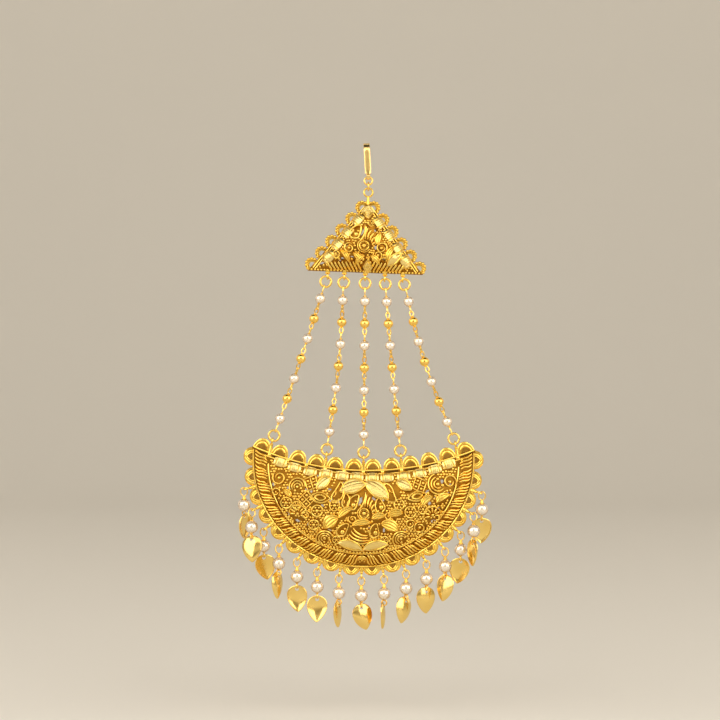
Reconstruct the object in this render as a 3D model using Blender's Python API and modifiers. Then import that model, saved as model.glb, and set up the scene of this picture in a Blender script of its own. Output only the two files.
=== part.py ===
"""A jhoomar, the ornament that hangs from the hair at the side of the head.

A flat hook carries a triangular plaque on two small rings. Five strings of beads hang from the plaque's
base and carry a crescent plaque, and fifteen drops, each a pearl over a stamped leaf, hang from its lower rim.

Units are metres. +Z is up, the ornament's face looks along -Y, and the origin is the point that it hangs from,
under the top of the hook's bend.
"""

import math

import bmesh
import bpy
from mathutils import Matrix, Vector

# Hook: a flat strip bent over, with its front end rolled into an eye.
STRIP_WIDTH = 0.0018
STRIP_THICKNESS = 0.0005
HOOK_GAP = 0.0046
FRONT_LEG = 0.0095
BACK_LEG = 0.0080
HOOK_LEAN = math.radians(3.2)
EYE_BORE_RADIUS = 0.00054
EYE_WALL = 0.00030
EYE_WIDTH = 0.0011

# Rings of bent wire, each given by the radius of its wire's centre line.
JUMP_WIRE = 0.00052
JUMP_RADIUS = 0.00115
STRING_RING_WIRE = 0.00068
STRING_RING_RADIUS = 0.00155
LOOP_WIRE = 0.00040
PIN_LOOP_RADIUS = 0.00098
LEAF_LOOP_RADIUS = 0.00076
PIN_LOOP_STRETCH = 1.3
LINK_PLAY = 0.00016

# Lugs: flat ears with a five-sided hole, on the rims of the two plaques. The radius is to the hole's sides.
LUG_HOLE_RADIUS = 0.00062
LUG_WEB = 0.00038
LUG_THICKNESS = 0.00050

# Triangular plaque.
TRIANGLE_HALF_BASE = 0.0167
TRIANGLE_HEIGHT = 0.0203
TRIANGLE_DOME = 0.0036
TRIANGLE_SLOPE = 0.0050
TRIANGLE_ROLL = math.radians(2.2)
TRIANGLE_LEAN_BACK = math.radians(0.5)
APEX_RING_STAND = 0.0029
APEX_RING_RADIUS = 0.00126
TRIANGLE_LUG_REACH = 0.0014
TRIANGLE_LOOPS = 6
TRIANGLE_LOOP_HEIGHT = 0.0023

# Crescent plaque: an ellipse below, cut off above by a shallow hollow arc.
CRESCENT_HALF_WIDTH = 0.0322
CRESCENT_HALF_HEIGHT = 0.0310
CRESCENT_DEPTH = 0.0285
CRESCENT_HOLLOW = 0.0066
CRESCENT_DOME = 0.0052
CRESCENT_TOP_SLOPE = 0.0080
CRESCENT_LOWER_SLOPE = 0.0090
CRESCENT_DROP = 0.0558
CRESCENT_SIDE = -0.0005
CRESCENT_ROLL = math.radians(1.0)
CRESCENT_LEAN_BACK = math.radians(6.3)
ARCHES = 12
ARCH_HEIGHT = 0.0035
ARCH_GAP = 0.0004
SCALLOPS = 18
SCALLOP_HEIGHT = 0.0025
SCALLOP_GAP = 0.0005
STRING_LUG_REACH = 0.0036
STRING_LUG_UPRIGHT = 1.0
DROP_LUG_REACH = 0.0026

# Both plaques are cast walls with raised work on the front and gaps between.
WALL = 0.0008
RIM_THICKNESS = 0.0006
RIM_SEAT = 0.0004
FLANGE = 0.0010
RIM_WIRE_WIDTH = 0.0008
RELIEF = 0.0007
RIM_MIDDLE = Vector((0, WALL / 2, 0))
CELL_MARGIN = 0.17
GAP_MARGIN = 0.32
LEAF_SLANT = math.radians(32)

# Beads.
STRING_BEADS = 7
PEARL_DIAMETER = 0.0030
GOLD_BEAD_DIAMETER = 0.0028
DROP_PEARL_DIAMETER = 0.0038
DROP_CAP_HEIGHT = 0.0009
LOOP_SINK = 0.00018
STRING_WIRE = 0.00056
PIN_LENGTH = 0.0021

# Stamped leaves.
LEAF_LENGTH = 0.0080
LEAF_WIDTH = 0.0061
LEAF_THICKNESS = 0.00032
LEAF_DISH = 0.0008
LEAF_HOLE_RADIUS = 0.00054
LEAF_HOLE_EDGE = 0.00075

# Facets.
RING_SIDES = 10
WIRE_SIDES = 5
BEAD_RINGS = 4

# How far the strings and drops stand, chosen by hand from how they hang. base and rim are shares of the
# triangle's half base and places between arches, bow is how far the string swings out of line at its middle.
STRINGS = (
    {"base": -0.65, "rim": -5, "bow": 0.0003},
    {"base": -0.36, "rim": -2, "bow": 0.0009},
    {"base": 0.00, "rim": 0, "bow": 0.0},
    {"base": 0.34, "rim": 2, "bow": -0.0002},
    {"base": 0.65, "rim": 5, "bow": -0.0013},
)

# Degrees. turn is the leaf's turn about the upright, where 0 shows its swollen side; lean is its slant as seen
# from the front; forward is how far the whole drop swings towards the viewer, which keeps neighbours apart.
DROPS = (
    {"turn": -125, "lean": -6, "forward": -16},
    {"turn": -15, "lean": 2, "forward": 14},
    {"turn": 190, "lean": 8, "forward": -12},
    {"turn": 62, "lean": 0, "forward": 8},
    {"turn": 175, "lean": 3, "forward": -2},
    {"turn": 186, "lean": -2, "forward": 3},
    {"turn": 70, "lean": 5, "forward": -2},
    {"turn": 20, "lean": 15, "forward": 3},
    {"turn": 84, "lean": -3, "forward": -2},
    {"turn": 45, "lean": -14, "forward": 3},
    {"turn": 25, "lean": 0, "forward": -3},
    {"turn": -40, "lean": -12, "forward": 8},
    {"turn": 170, "lean": -8, "forward": -10},
    {"turn": 115, "lean": 0, "forward": 12},
    {"turn": 190, "lean": -2, "forward": -14},
)

# What each cell of a plaque's wall carries, in rows from its top edge down: b a raised block, l and r a raised
# leaf that slants to the left or right, g a gap pierced through, and . the bare wall.
CRESCENT_ROWS = (0.0, 0.13, 0.36, 0.62, 0.84, 1.0)
CRESCENT_CELLS = (
    "................",
    "..bbbbbbbbbbbb..",
    "..glrg.lr.grlg..",
    "..r.grlgglrg.l..",
    "...glgrbblgrg...",
    "...bbbbbbbbbb...",
    "................",
)
TRIANGLE_ROWS = (0.0, 0.27, 0.46, 0.65, 0.82, 0.95, 1.0)
TRIANGLE_CELLS = (
    "......",
    "..bb..",
    "bgrlgb",
    "blggrb",
    ".bbbb.",
    "......",
)

GOLD = (1.0, 0.72, 0.26, 1.0)
PEARL = (0.93, 0.88, 0.80, 1.0)


def material(name, colour, roughness, metallic):
    """A Principled BSDF of one colour."""
    made = bpy.data.materials.new(name)
    made.use_nodes = True
    shader = made.node_tree.nodes["Principled BSDF"]
    shader.inputs["Base Color"].default_value = colour
    shader.inputs["Roughness"].default_value = roughness
    shader.inputs["Metallic"].default_value = metallic
    return made


def new_collection(name):
    made = bpy.data.collections.new(name)
    bpy.context.scene.collection.children.link(made)
    return made


def add_object(name, mesh, collection, matrix=None):
    """Puts a mesh in the scene under that name and in that place."""
    made = bpy.data.objects.new(name, mesh)
    collection.objects.link(made)
    if matrix is not None:
        made.matrix_world = matrix
    return made


def as_tool(obj):
    """Marks an object as one that is only joined to another, or cut from it."""
    obj.hide_render = True
    obj.display_type = "WIRE"
    return obj


def boolean(obj, operation, tool, tools_overlap=False):
    """Adds a Boolean by one tool object. tools_overlap says that the tool's own shapes meet each other."""
    modifier = obj.modifiers.new(tool.name, "BOOLEAN")
    modifier.operation = operation
    modifier.object = tool
    modifier.solver = "EXACT"
    modifier.use_self = tools_overlap


def joined(name, meshes, collection):
    """One tool object that holds several meshes, given as (mesh, matrix)."""
    bm = bmesh.new()
    for mesh, matrix in meshes:
        piece = mesh.copy()
        piece.transform(matrix)
        bm.from_mesh(piece)
        bpy.data.meshes.remove(piece)
    whole = bpy.data.meshes.new(name)
    bm.to_mesh(whole)
    bm.free()
    return as_tool(add_object(name, whole, collection))


def mesh_of(curve_object):
    """A closed mesh with the curve object's shape, which takes the curve's place."""
    graph = bpy.context.evaluated_depsgraph_get()
    mesh = bpy.data.meshes.new_from_object(curve_object.evaluated_get(graph))
    bm = bmesh.new()
    bm.from_mesh(mesh)
    bmesh.ops.remove_doubles(bm, verts=bm.verts, dist=1e-7)
    bmesh.ops.recalc_face_normals(bm, faces=bm.faces)
    bm.to_mesh(mesh)
    bm.free()
    bpy.data.objects.remove(curve_object)
    return mesh


def curve_object(name, dimensions, splines, cyclic):
    curve = bpy.data.curves.new(name, "CURVE")
    curve.dimensions = dimensions
    for points in splines:
        spline = curve.splines.new("POLY")
        spline.points.add(len(points) - 1)
        for target, point in zip(spline.points, points):
            target.co = (*point, 0.0, 1.0) if len(point) == 2 else (*point, 1.0)
        spline.use_cyclic_u = cyclic
    made = bpy.data.objects.new(name, curve)
    bpy.context.scene.collection.objects.link(made)
    return made


def plate_mesh(name, outlines, thickness):
    """A flat plate in the XY plane, its first outline the edge and the others holes."""
    obj = curve_object(name, "2D", outlines, cyclic=True)
    obj.data.fill_mode = "BOTH"
    obj.data.extrude = thickness / 2
    return mesh_of(obj)


def ring_mesh(radius, wire):
    """A ring of round wire in the XY plane, with corners at the two ends of its Y axis."""
    bpy.ops.mesh.primitive_torus_add(
        major_segments=RING_SIDES,
        minor_segments=WIRE_SIDES,
        major_radius=radius,
        minor_radius=wire / 2,
    )
    obj = bpy.context.object
    mesh = obj.data
    bpy.data.objects.remove(obj)
    mesh.transform(Matrix.Rotation(math.pi / RING_SIDES, 4, "Z"))
    return mesh


def capped_bead_mesh(diameter, cap_height):
    """A bead with a pointed cap on its top."""
    bm = bmesh.new()
    bmesh.ops.create_uvsphere(bm, u_segments=RING_SIDES, v_segments=BEAD_RINGS, radius=diameter / 2)
    max(bm.verts, key=lambda vert: vert.co.z).co.z += cap_height
    mesh = bpy.data.meshes.new("bead")
    bm.to_mesh(mesh)
    bm.free()
    return mesh


def wire_mesh(points, wire):
    """A length of wire along the points."""
    obj = curve_object("wire", "3D", [points], cyclic=False)
    obj.data.bevel_depth = wire / 2
    obj.data.bevel_resolution = 1
    obj.data.use_fill_caps = True
    return mesh_of(obj)


def turned_mesh(stations):
    """A solid turned round a line that may bend: stations are (point on the line, radius)."""
    bm = bmesh.new()
    rings = []
    for i, (point, radius) in enumerate(stations):
        ahead = stations[min(i + 1, len(stations) - 1)][0] - stations[max(i - 1, 0)][0]
        frame = upright_frame(point, ahead)
        angles = [2 * math.pi * k / RING_SIDES for k in range(RING_SIDES)]
        rings.append([bm.verts.new(frame @ Vector((radius * math.cos(a), radius * math.sin(a), 0))) for a in angles])
    for upper, lower in zip(rings, rings[1:]):
        for k in range(RING_SIDES):
            after = (k + 1) % RING_SIDES
            bm.faces.new((upper[k], lower[k], lower[after], upper[after]))
    bm.faces.new(rings[0])
    bm.faces.new(rings[-1])
    bmesh.ops.recalc_face_normals(bm, faces=bm.faces)
    mesh = bpy.data.meshes.new("turned")
    bm.to_mesh(mesh)
    bm.free()
    return mesh


def arc(centre, radius, start, end, steps):
    """Points on a circle from one angle to another, in degrees."""
    angles = [math.radians(start + (end - start) * i / steps) for i in range(steps + 1)]
    return [(centre[0] + radius * math.cos(a), centre[1] + radius * math.sin(a)) for a in angles]


def walk(points, distance):
    """(point, unit direction) at a distance along a line of points."""
    for a, b in zip(points, points[1:]):
        step = b - a
        if distance <= step.length or b is points[-1]:
            return a + step.normalized() * distance, step.normalized()
        distance -= step.length


def length_of(points):
    return sum((b - a).length for a, b in zip(points, points[1:]))


def centre_distance(upper_radius, upper_wire, lower_radius, lower_wire):
    """How far apart the centres of two linked rings hang."""
    return upper_radius + lower_radius - (upper_wire + lower_wire) / 2 - LINK_PLAY


def upright_frame(origin, down):
    """A frame whose -Z runs along down and whose Y stays as near the world's as it can."""
    z = -down.normalized()
    x = Vector((0, 1, 0)).cross(z).normalized()
    y = z.cross(x)
    frame = Matrix((x, y, z)).transposed().to_4x4()
    frame.translation = origin
    return frame


# A ring's plane: facing the viewer, or edge on to them and upright. A lug stands across its rim.
FACING = Matrix.Rotation(math.pi / 2, 4, "X")
EDGE_ON = Matrix.Rotation(math.pi / 2, 4, "Z") @ FACING
QUARTER_TURN = Matrix.Rotation(math.pi / 2, 4, "Y")


def dome_share(distance, slope):
    """How far up the dome the wall is, this far in from the rim: 0 at the rim and 1 past the slope."""
    share = min(max(distance / slope, 0.0), 1.0)
    return math.sin(share * math.pi / 2)


def inset_cell(bm, face, margin):
    bmesh.ops.inset_individual(bm, faces=[face], thickness=margin * math.sqrt(face.calc_area()))


def raise_cell(bm, face, kind):
    """Raises a smaller copy of a cell of the wall, turned a little if it is a leaf."""
    inset_cell(bm, face, CELL_MARGIN)
    middle = face.calc_center_median()
    normal = face.normal.copy()
    turn = Matrix.Rotation({"l": -LEAF_SLANT, "r": LEAF_SLANT}.get(kind, 0.0), 3, normal)
    for vert in face.verts:
        vert.co = middle + turn @ (vert.co - middle) + normal * RELIEF


def wall_mesh(name, columns, cells):
    """A plaque's wall, from columns of points that run down its front, left to right. Its back is plain."""
    across, down = len(columns) - 1, len(columns[0]) - 1
    bm = bmesh.new()
    bmesh.ops.create_grid(bm, x_segments=across, y_segments=down, size=0.5)
    kinds = {}
    for face in bm.faces:
        middle = face.calc_center_median()
        kinds[face] = cells[int((0.5 - middle.y) * down)][int((middle.x + 0.5) * across)]
    for vert in bm.verts:
        i = round((vert.co.x + 0.5) * across)
        j = round((0.5 - vert.co.y) * down)
        vert.co = columns[i][j]
    bmesh.ops.remove_doubles(bm, verts=bm.verts, dist=1e-6)
    bm.normal_update()
    backwards = {vert: Vector((0, 1, 0)) if vert.is_boundary else -vert.normal for vert in bm.verts}
    for face in [face for face, kind in kinds.items() if kind == "g"]:
        inset_cell(bm, face, GAP_MARGIN)
        bmesh.ops.delete(bm, geom=[face], context="FACES_ONLY")
    bm.normal_update()
    front = bm.verts[:]
    edges = [edge.verts[:] for edge in bm.edges if edge.is_boundary]
    twin = bmesh.ops.duplicate(bm, geom=bm.verts[:] + bm.edges[:] + bm.faces[:])["vert_map"]
    for vert in front:
        twin[vert].co += backwards.get(vert, -vert.normal) * WALL
    for a, b in edges:
        bm.faces.new((a, b, twin[b], twin[a]))
    bmesh.ops.recalc_face_normals(bm, faces=bm.faces)
    for face, kind in kinds.items():
        if kind in "blr" and face.is_valid:
            raise_cell(bm, face, kind)
    mesh = bpy.data.meshes.new(name)
    bm.to_mesh(mesh)
    bm.free()
    return mesh


def rim_frame(point, outward):
    """Something's frame half way through a plaque's rim: X along the rim, Y outwards in its plane, Z to the back."""
    y = outward.normalized()
    z = Vector((0, 1, 0))
    frame = Matrix((y.cross(z), y, z)).transposed().to_4x4()
    frame.translation = point + RIM_MIDDLE
    return frame


def build_plaque(name, wall, on_rim, tools, collection, matrix):
    """The plaque: its wall with everything that stands on its rim."""
    plaque = add_object(name, wall, collection, matrix)
    work = joined(name + "_rim", on_rim, tools)
    work.matrix_world = matrix
    boolean(plaque, "UNION", work, tools_overlap=True)


def lug_mesh(reach):
    """A flat ear with a hole. Its hole's centre is the origin, and it grows from the rim, at y = -reach."""
    outer = LUG_HOLE_RADIUS + LUG_WEB
    foot = -reach - RIM_SEAT
    edge = arc((0, 0), outer / math.cos(math.radians(30)), 0, 180, 3)
    edge += [(-RIM_THICKNESS / 2, foot), (RIM_THICKNESS / 2, foot)]
    hole = arc((0, 0), LUG_HOLE_RADIUS / math.cos(math.radians(36)), 54, 342, 4)
    return plate_mesh("lug", [edge, hole], LUG_THICKNESS)


def arch_mesh(width, height, band, pierced):
    """A round-topped tab that stands on the rim, at y = 0, with or without an opening."""
    half = width / 2
    shoulder = max(height - half, 0.0)
    edge = [(half, -RIM_SEAT)]
    edge += [(x, shoulder + (y - shoulder) * (height - shoulder) / half) for x, y in arc((0, shoulder), half, 0, 180, 4)]
    edge += [(-half, -RIM_SEAT)]
    if not pierced:
        return plate_mesh("tab", [edge], RIM_THICKNESS)
    inner = half - band
    head = (inner * 0.55, height - band * 1.2)
    hole = [(inner, band / 2), head, (-head[0], head[1]), (-inner, band / 2)]
    return plate_mesh("arch", [edge, hole], RIM_THICKNESS)


def make_hook(collection, tools, gold):
    """The bent strip and its rolled eye, leaning a little. Returns the eye's centre."""
    inner = HOOK_GAP / 2
    outer = inner + STRIP_THICKNESS
    leg_end = -FRONT_LEG + EYE_BORE_RADIUS + EYE_WALL / 2
    outline = [(-outer, leg_end)] + arc((0, -inner), outer, 180, 0, 12)
    outline += [(outer, -BACK_LEG), (inner, -BACK_LEG)]
    outline += arc((0, -inner), inner, 0, 180, 12) + [(-inner, leg_end)]
    side_on = Matrix(((0, 0, 1, 0), (1, 0, 0, 0), (0, 1, 0, 0), (0, 0, 0, 1)))
    lean = Matrix.Rotation(-HOOK_LEAN, 4, "Y")
    strip = add_object("hook_strip", plate_mesh("strip", [outline], STRIP_WIDTH), collection)
    strip.matrix_world = lean @ side_on

    centre = Vector((0, -(inner + STRIP_THICKNESS / 2), -FRONT_LEG))
    wall_outer = EYE_BORE_RADIUS + EYE_WALL
    barrel = plate_mesh(
        "eye",
        [arc((0, 0), wall_outer, 0, 330, 11), arc((0, 0), EYE_BORE_RADIUS, 0, 330, 11)],
        EYE_WIDTH,
    )
    eye = as_tool(add_object("eye_barrel", barrel, tools, lean @ Matrix.Translation(centre) @ side_on))
    boolean(strip, "UNION", eye)
    strip.data.materials.append(gold)
    return lean @ centre


def make_ring(name, centre, radius, wire, plane, collection, gold):
    ring = add_object(name, ring_mesh(radius, wire), collection, Matrix.Translation(centre) @ plane)
    ring.data.materials.append(gold)
    return ring


def side_loops(corner, apex, mesh, loops):
    """Small pierced loops in a row along one slanted side of the triangle, each with its place on the rim."""
    side = apex - corner
    outward = Vector((side.z, 0, -side.x))
    if outward.x * corner.x < 0:
        outward = -outward
    return [(mesh, rim_frame(corner + side * (i + 0.5) / loops, outward)) for i in range(loops)]


def triangle_height(x, z):
    """The dome of the triangle. z is 0 at its apex."""
    from_side = (-z * TRIANGLE_HALF_BASE - abs(x) * TRIANGLE_HEIGHT) / math.hypot(TRIANGLE_HALF_BASE, TRIANGLE_HEIGHT)
    from_base = TRIANGLE_HEIGHT + z
    return TRIANGLE_DOME * dome_share(from_side, TRIANGLE_SLOPE) * dome_share(from_base - FLANGE, TRIANGLE_SLOPE / 2)


def make_triangle(apex_ring, collection, tools, gold):
    """The triangular plaque with the ring that it hangs by. Returns the world places of its five lugs."""
    apex = Vector((0, 0, -APEX_RING_STAND))
    corners = [Vector((side * TRIANGLE_HALF_BASE, 0, apex.z - TRIANGLE_HEIGHT)) for side in (-1, 1)]
    columns = []
    across = len(TRIANGLE_CELLS[0])
    for i in range(across + 1):
        foot = corners[0].lerp(corners[1], i / across)
        line = [apex.lerp(foot, share) for share in TRIANGLE_ROWS]
        columns.append([point - Vector((0, triangle_height(point.x, point.z - apex.z), 0)) for point in line])
    wall = wall_mesh("triangle_wall", columns, TRIANGLE_CELLS)
    wall.materials.append(gold)

    pitch = (corners[0] - apex).length / TRIANGLE_LOOPS
    loop = arch_mesh(pitch - ARCH_GAP, TRIANGLE_LOOP_HEIGHT, RIM_WIRE_WIDTH * 0.8, pierced=True)
    on_rim = []
    for corner in corners:
        on_rim += side_loops(corner, apex, loop, TRIANGLE_LOOPS)
    stem = [(0, 0, -APEX_RING_RADIUS), (0, 0, apex.z - RIM_SEAT)]
    on_rim.append((ring_mesh(APEX_RING_RADIUS, JUMP_WIRE), FACING))
    on_rim.append((wire_mesh(stem, JUMP_WIRE * 1.6), Matrix()))

    frame = Matrix.Translation(apex_ring) @ Matrix.Rotation(TRIANGLE_ROLL, 4, "Y")
    frame = frame @ Matrix.Rotation(TRIANGLE_LEAN_BACK, 4, "X")
    lug = lug_mesh(TRIANGLE_LUG_REACH)
    down = Vector((0, 0, -1))
    lugs = []
    for row in STRINGS:
        centre = Vector((row["base"] * TRIANGLE_HALF_BASE, 0, corners[0].z)) + down * TRIANGLE_LUG_REACH
        on_rim.append((lug, rim_frame(centre, down) @ QUARTER_TURN))
        lugs.append(frame @ (centre + RIM_MIDDLE))
    build_plaque("triangle_plaque", wall, on_rim, tools, collection, frame)
    return lugs


def crescent_lines():
    """The top edge, left to right, and the lower edge from the left corner round to the right one."""
    half = CRESCENT_HALF_WIDTH
    top_radius = (half**2 + CRESCENT_HOLLOW**2) / (2 * CRESCENT_HOLLOW)
    middle = CRESCENT_HALF_HEIGHT - CRESCENT_DEPTH
    fine = 90
    top, lower = [], []
    for i in range(fine + 1):
        share = 2 * i / fine - 1
        x = half * share
        top.append(Vector((x, 0, top_radius - math.sqrt(top_radius**2 - x**2))))
        angle = share * math.pi / 2
        lower.append(Vector((half * math.sin(angle), 0, middle - CRESCENT_HALF_HEIGHT * math.cos(angle))))
    return top, [top[0]] + lower + [top[-1]]


def crescent_height(x, z):
    """The dome of the crescent: the product of its rise from the top edge and from the lower edge."""
    half = CRESCENT_HALF_WIDTH
    top_radius = (half**2 + CRESCENT_HOLLOW**2) / (2 * CRESCENT_HOLLOW)
    middle = CRESCENT_HALF_HEIGHT - CRESCENT_DEPTH
    from_top = math.hypot(x, z - top_radius) - top_radius
    inwards = 1 - math.hypot(x / half, (z - middle) / CRESCENT_HALF_HEIGHT)
    if z > middle:
        inwards = 1 - abs(x) / half
    rise = dome_share(from_top - FLANGE, CRESCENT_TOP_SLOPE)
    rise *= dome_share(inwards * half - FLANGE, CRESCENT_LOWER_SLOPE)
    return CRESCENT_DOME * rise


def make_crescent(frame, collection, tools, gold):
    """The crescent plaque. Returns the world places of the five string lugs and of the fifteen drop lugs."""
    top, lower = crescent_lines()
    across = len(CRESCENT_CELLS[0])
    columns = []
    for i in range(across + 1):
        head = top[round(i / across * (len(top) - 1))]
        foot = lower[1 + round(i / across * (len(lower) - 3))]
        flange = min(FLANGE / (foot - head).length, 0.25)
        shares = [0.0] + [flange + share * (1 - 2 * flange) for share in CRESCENT_ROWS] + [1.0]
        line = [head.lerp(foot, share) for share in shares]
        columns.append([point - Vector((0, crescent_height(point.x, point.z), 0)) for point in line])
    wall = wall_mesh("crescent_wall", columns, CRESCENT_CELLS)
    wall.materials.append(gold)

    on_rim = []
    top_length = length_of(top)
    arch_pitch = top_length / ARCHES
    arch = arch_mesh(arch_pitch - ARCH_GAP, ARCH_HEIGHT, RIM_WIRE_WIDTH, pierced=True)
    for i in range(ARCHES):
        at, along = walk(top, arch_pitch * (i + 0.5))
        on_rim.append((arch, rim_frame(at, Vector((-along.z, 0, along.x)))))
    lower_length = length_of(lower)
    scallop_pitch = lower_length / SCALLOPS
    scallop = arch_mesh(scallop_pitch - SCALLOP_GAP, SCALLOP_HEIGHT, RIM_WIRE_WIDTH, pierced=False)
    for i in range(SCALLOPS):
        at, along = walk(lower, scallop_pitch * (i + 0.5))
        on_rim.append((scallop, rim_frame(at, Vector((along.z, 0, -along.x)))))

    string_lug = lug_mesh(STRING_LUG_REACH)
    string_lugs = []
    for row in STRINGS:
        at, along = walk(top, top_length / 2 + row["rim"] * arch_pitch)
        outward = Vector((-along.z, 0, along.x + STRING_LUG_UPRIGHT)).normalized()
        centre = at + outward * STRING_LUG_REACH
        on_rim.append((string_lug, rim_frame(centre, outward) @ QUARTER_TURN))
        string_lugs.append(frame @ (centre + RIM_MIDDLE))
    drop_lug = lug_mesh(DROP_LUG_REACH)
    drop_lugs = []
    first_gap = (SCALLOPS - len(DROPS) + 1) // 2
    for i in range(len(DROPS)):
        at, along = walk(lower, scallop_pitch * (i + first_gap))
        outward = Vector((along.z, 0, -along.x))
        centre = at + outward * DROP_LUG_REACH
        on_rim.append((drop_lug, rim_frame(centre, outward) @ QUARTER_TURN))
        drop_lugs.append(frame @ (centre + RIM_MIDDLE + outward * (LUG_HOLE_RADIUS + LUG_WEB / 2)))
    build_plaque("crescent_plaque", wall, on_rim, tools, collection, frame)
    return string_lugs, drop_lugs


def bead_stations(middle, down, radius):
    """Where a bead's surface starts, swells, is widest and ends, along a string."""
    reach = math.sqrt(radius**2 - (STRING_WIRE / 2) ** 2)
    shares = ((-reach, STRING_WIRE / 2), (-0.71 * radius, 0.71 * radius), (0, radius))
    return [(middle + down * at, size) for at, size in (*shares, (0.71 * radius, 0.71 * radius), (reach, STRING_WIRE / 2))]


def make_string(number, upper_lug, lower_lug, bow, collection, tools, gold):
    """One string: seven beads on linked pins, drawn here as one wire, and fused to it the ring at each end."""
    name = f"bead_string_{number}"
    down = (lower_lug - upper_lug).normalized()
    hang = centre_distance(LUG_HOLE_RADIUS + LUG_WEB / 2, LUG_WEB, STRING_RING_RADIUS, STRING_RING_WIRE)
    rings = (upper_lug + down * hang, lower_lug - down * hang)
    start = rings[0] + down * STRING_RING_RADIUS
    end = rings[1] - down * STRING_RING_RADIUS
    length = (end - start).length
    lead = PIN_LENGTH + PEARL_DIAMETER / 2
    stations = [(start, STRING_WIRE / 2)]
    for i in range(STRING_BEADS):
        share = (lead + (length - 2 * lead) * i / (STRING_BEADS - 1)) / length
        middle = start.lerp(end, share) + Vector((bow * math.sin(math.pi * share), 0, 0))
        diameter = GOLD_BEAD_DIAMETER if i % 2 else PEARL_DIAMETER
        stations += bead_stations(middle, down, diameter / 2)
    stations.append((end, STRING_WIRE / 2))
    string = add_object(name, turned_mesh(stations), collection)
    string.data.materials.append(gold)
    loop = ring_mesh(STRING_RING_RADIUS, STRING_RING_WIRE)
    pieces = [(loop, upright_frame(centre, down) @ FACING) for centre in rings]
    boolean(string, "UNION", joined(name + "_rings", pieces, tools))


def leaf_half_width(share):
    """Half the leaf's width, this share of the way from its round top to its point."""
    widest = 0.385
    peak = math.sqrt(widest) * (1 - widest) ** 0.8
    return LEAF_WIDTH / 2 * math.sqrt(share) * (1 - share) ** 0.8 / peak


def leaf_mesh():
    """The leaf's open front surface: a fan round its most swollen point. The hole's centre is the origin."""
    top = LEAF_HOLE_RADIUS + LEAF_HOLE_EDGE
    deep = LEAF_DISH * 2 * top / LEAF_LENGTH
    bm = bmesh.new()
    bmesh.ops.create_circle(bm, cap_ends=True, cap_tris=True, segments=10, radius=1.0)
    shares = (0.0, 0.12, 0.38, 0.66, 0.88, 1.0)
    for vert in bm.verts:
        angle = math.atan2(vert.co.x, vert.co.y)
        if vert.co.length < 0.5:
            vert.co = (0, deep - LEAF_DISH, top - 0.5 * LEAF_LENGTH)
            continue
        share = shares[round(abs(angle) / math.pi * 5)]
        side = math.copysign(1, angle) if 0 < share < 1 else 0
        vert.co = (side * leaf_half_width(share), deep, top - share * LEAF_LENGTH)
    bmesh.ops.recalc_face_normals(bm, faces=bm.faces)
    if sum(face.normal.y for face in bm.faces) > 0:
        bmesh.ops.reverse_faces(bm, faces=bm.faces)
    mesh = bpy.data.meshes.new("leaf")
    bm.to_mesh(mesh)
    bm.free()
    return mesh


def make_leaf_parts(tools, gold):
    """The leaf's surface and the round punch that makes its hole."""
    surface = leaf_mesh()
    surface.materials.append(gold)
    bm = bmesh.new()
    punch_length = 4 * LEAF_DISH
    bmesh.ops.create_cone(
        bm, cap_ends=True, segments=6, radius1=LEAF_HOLE_RADIUS, radius2=LEAF_HOLE_RADIUS, depth=punch_length
    )
    punch = bpy.data.meshes.new("leaf_punch")
    bm.to_mesh(punch)
    bm.free()
    return surface, punch


def make_drop(number, web, row, surface, punch, collection, tools, gold, pearl):
    """One drop: a pearl fused to its pin's two loops, and a leaf on the lower loop."""
    turn = math.radians(row["turn"])
    swing = Matrix.Translation(web) @ Matrix.Rotation(math.radians(-row["forward"]), 4, "X")
    pearl_radius = DROP_PEARL_DIAMETER / 2
    wire = LOOP_WIRE / 2
    loop_reach = PIN_LOOP_RADIUS * PIN_LOOP_STRETCH
    upper_loop = -(loop_reach - (LUG_WEB + LOOP_WIRE) / 2 - LINK_PLAY)
    pearl_at = upper_loop - loop_reach - wire + LOOP_SINK - DROP_CAP_HEIGHT - pearl_radius
    lower_loop = pearl_at - pearl_radius + LOOP_SINK - wire - LEAF_LOOP_RADIUS
    pieces = (
        (
            ring_mesh(PIN_LOOP_RADIUS, LOOP_WIRE),
            Matrix.Translation((0, 0, upper_loop)) @ Matrix.Diagonal((1, 1, PIN_LOOP_STRETCH, 1)) @ FACING,
        ),
        (
            ring_mesh(LEAF_LOOP_RADIUS, LOOP_WIRE),
            Matrix.Translation((0, 0, lower_loop)) @ Matrix.Rotation(turn, 4, "Z") @ EDGE_ON,
        ),
    )
    body = capped_bead_mesh(DROP_PEARL_DIAMETER, DROP_CAP_HEIGHT)
    body.transform(swing @ Matrix.Translation((0, 0, pearl_at)))
    drop = add_object(f"drop_pearl_{number:02d}", body, collection)
    drop.data.materials.append(pearl)
    placed = [(mesh, swing @ matrix) for mesh, matrix in pieces]
    boolean(drop, "UNION", joined(f"drop_pin_{number:02d}", placed, tools), tools_overlap=True)

    hole = lower_loop - LEAF_LOOP_RADIUS + wire + LINK_PLAY - LEAF_HOLE_RADIUS
    slant = math.radians(row["lean"]) * (1 if math.cos(turn) > 0 else -1)
    pose = swing @ Matrix.Translation((0, 0, hole)) @ Matrix.Rotation(turn, 4, "Z")
    pose = pose @ Matrix.Rotation(-slant, 4, "Y")
    leaf = add_object(f"drop_leaf_{number:02d}", surface, collection, pose)
    solidify = leaf.modifiers.new("sheet", "SOLIDIFY")
    solidify.thickness = LEAF_THICKNESS
    solidify.offset = 0
    tool = as_tool(add_object(f"leaf_punch_{number:02d}", punch, tools, pose @ FACING))
    boolean(leaf, "DIFFERENCE", tool)


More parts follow.
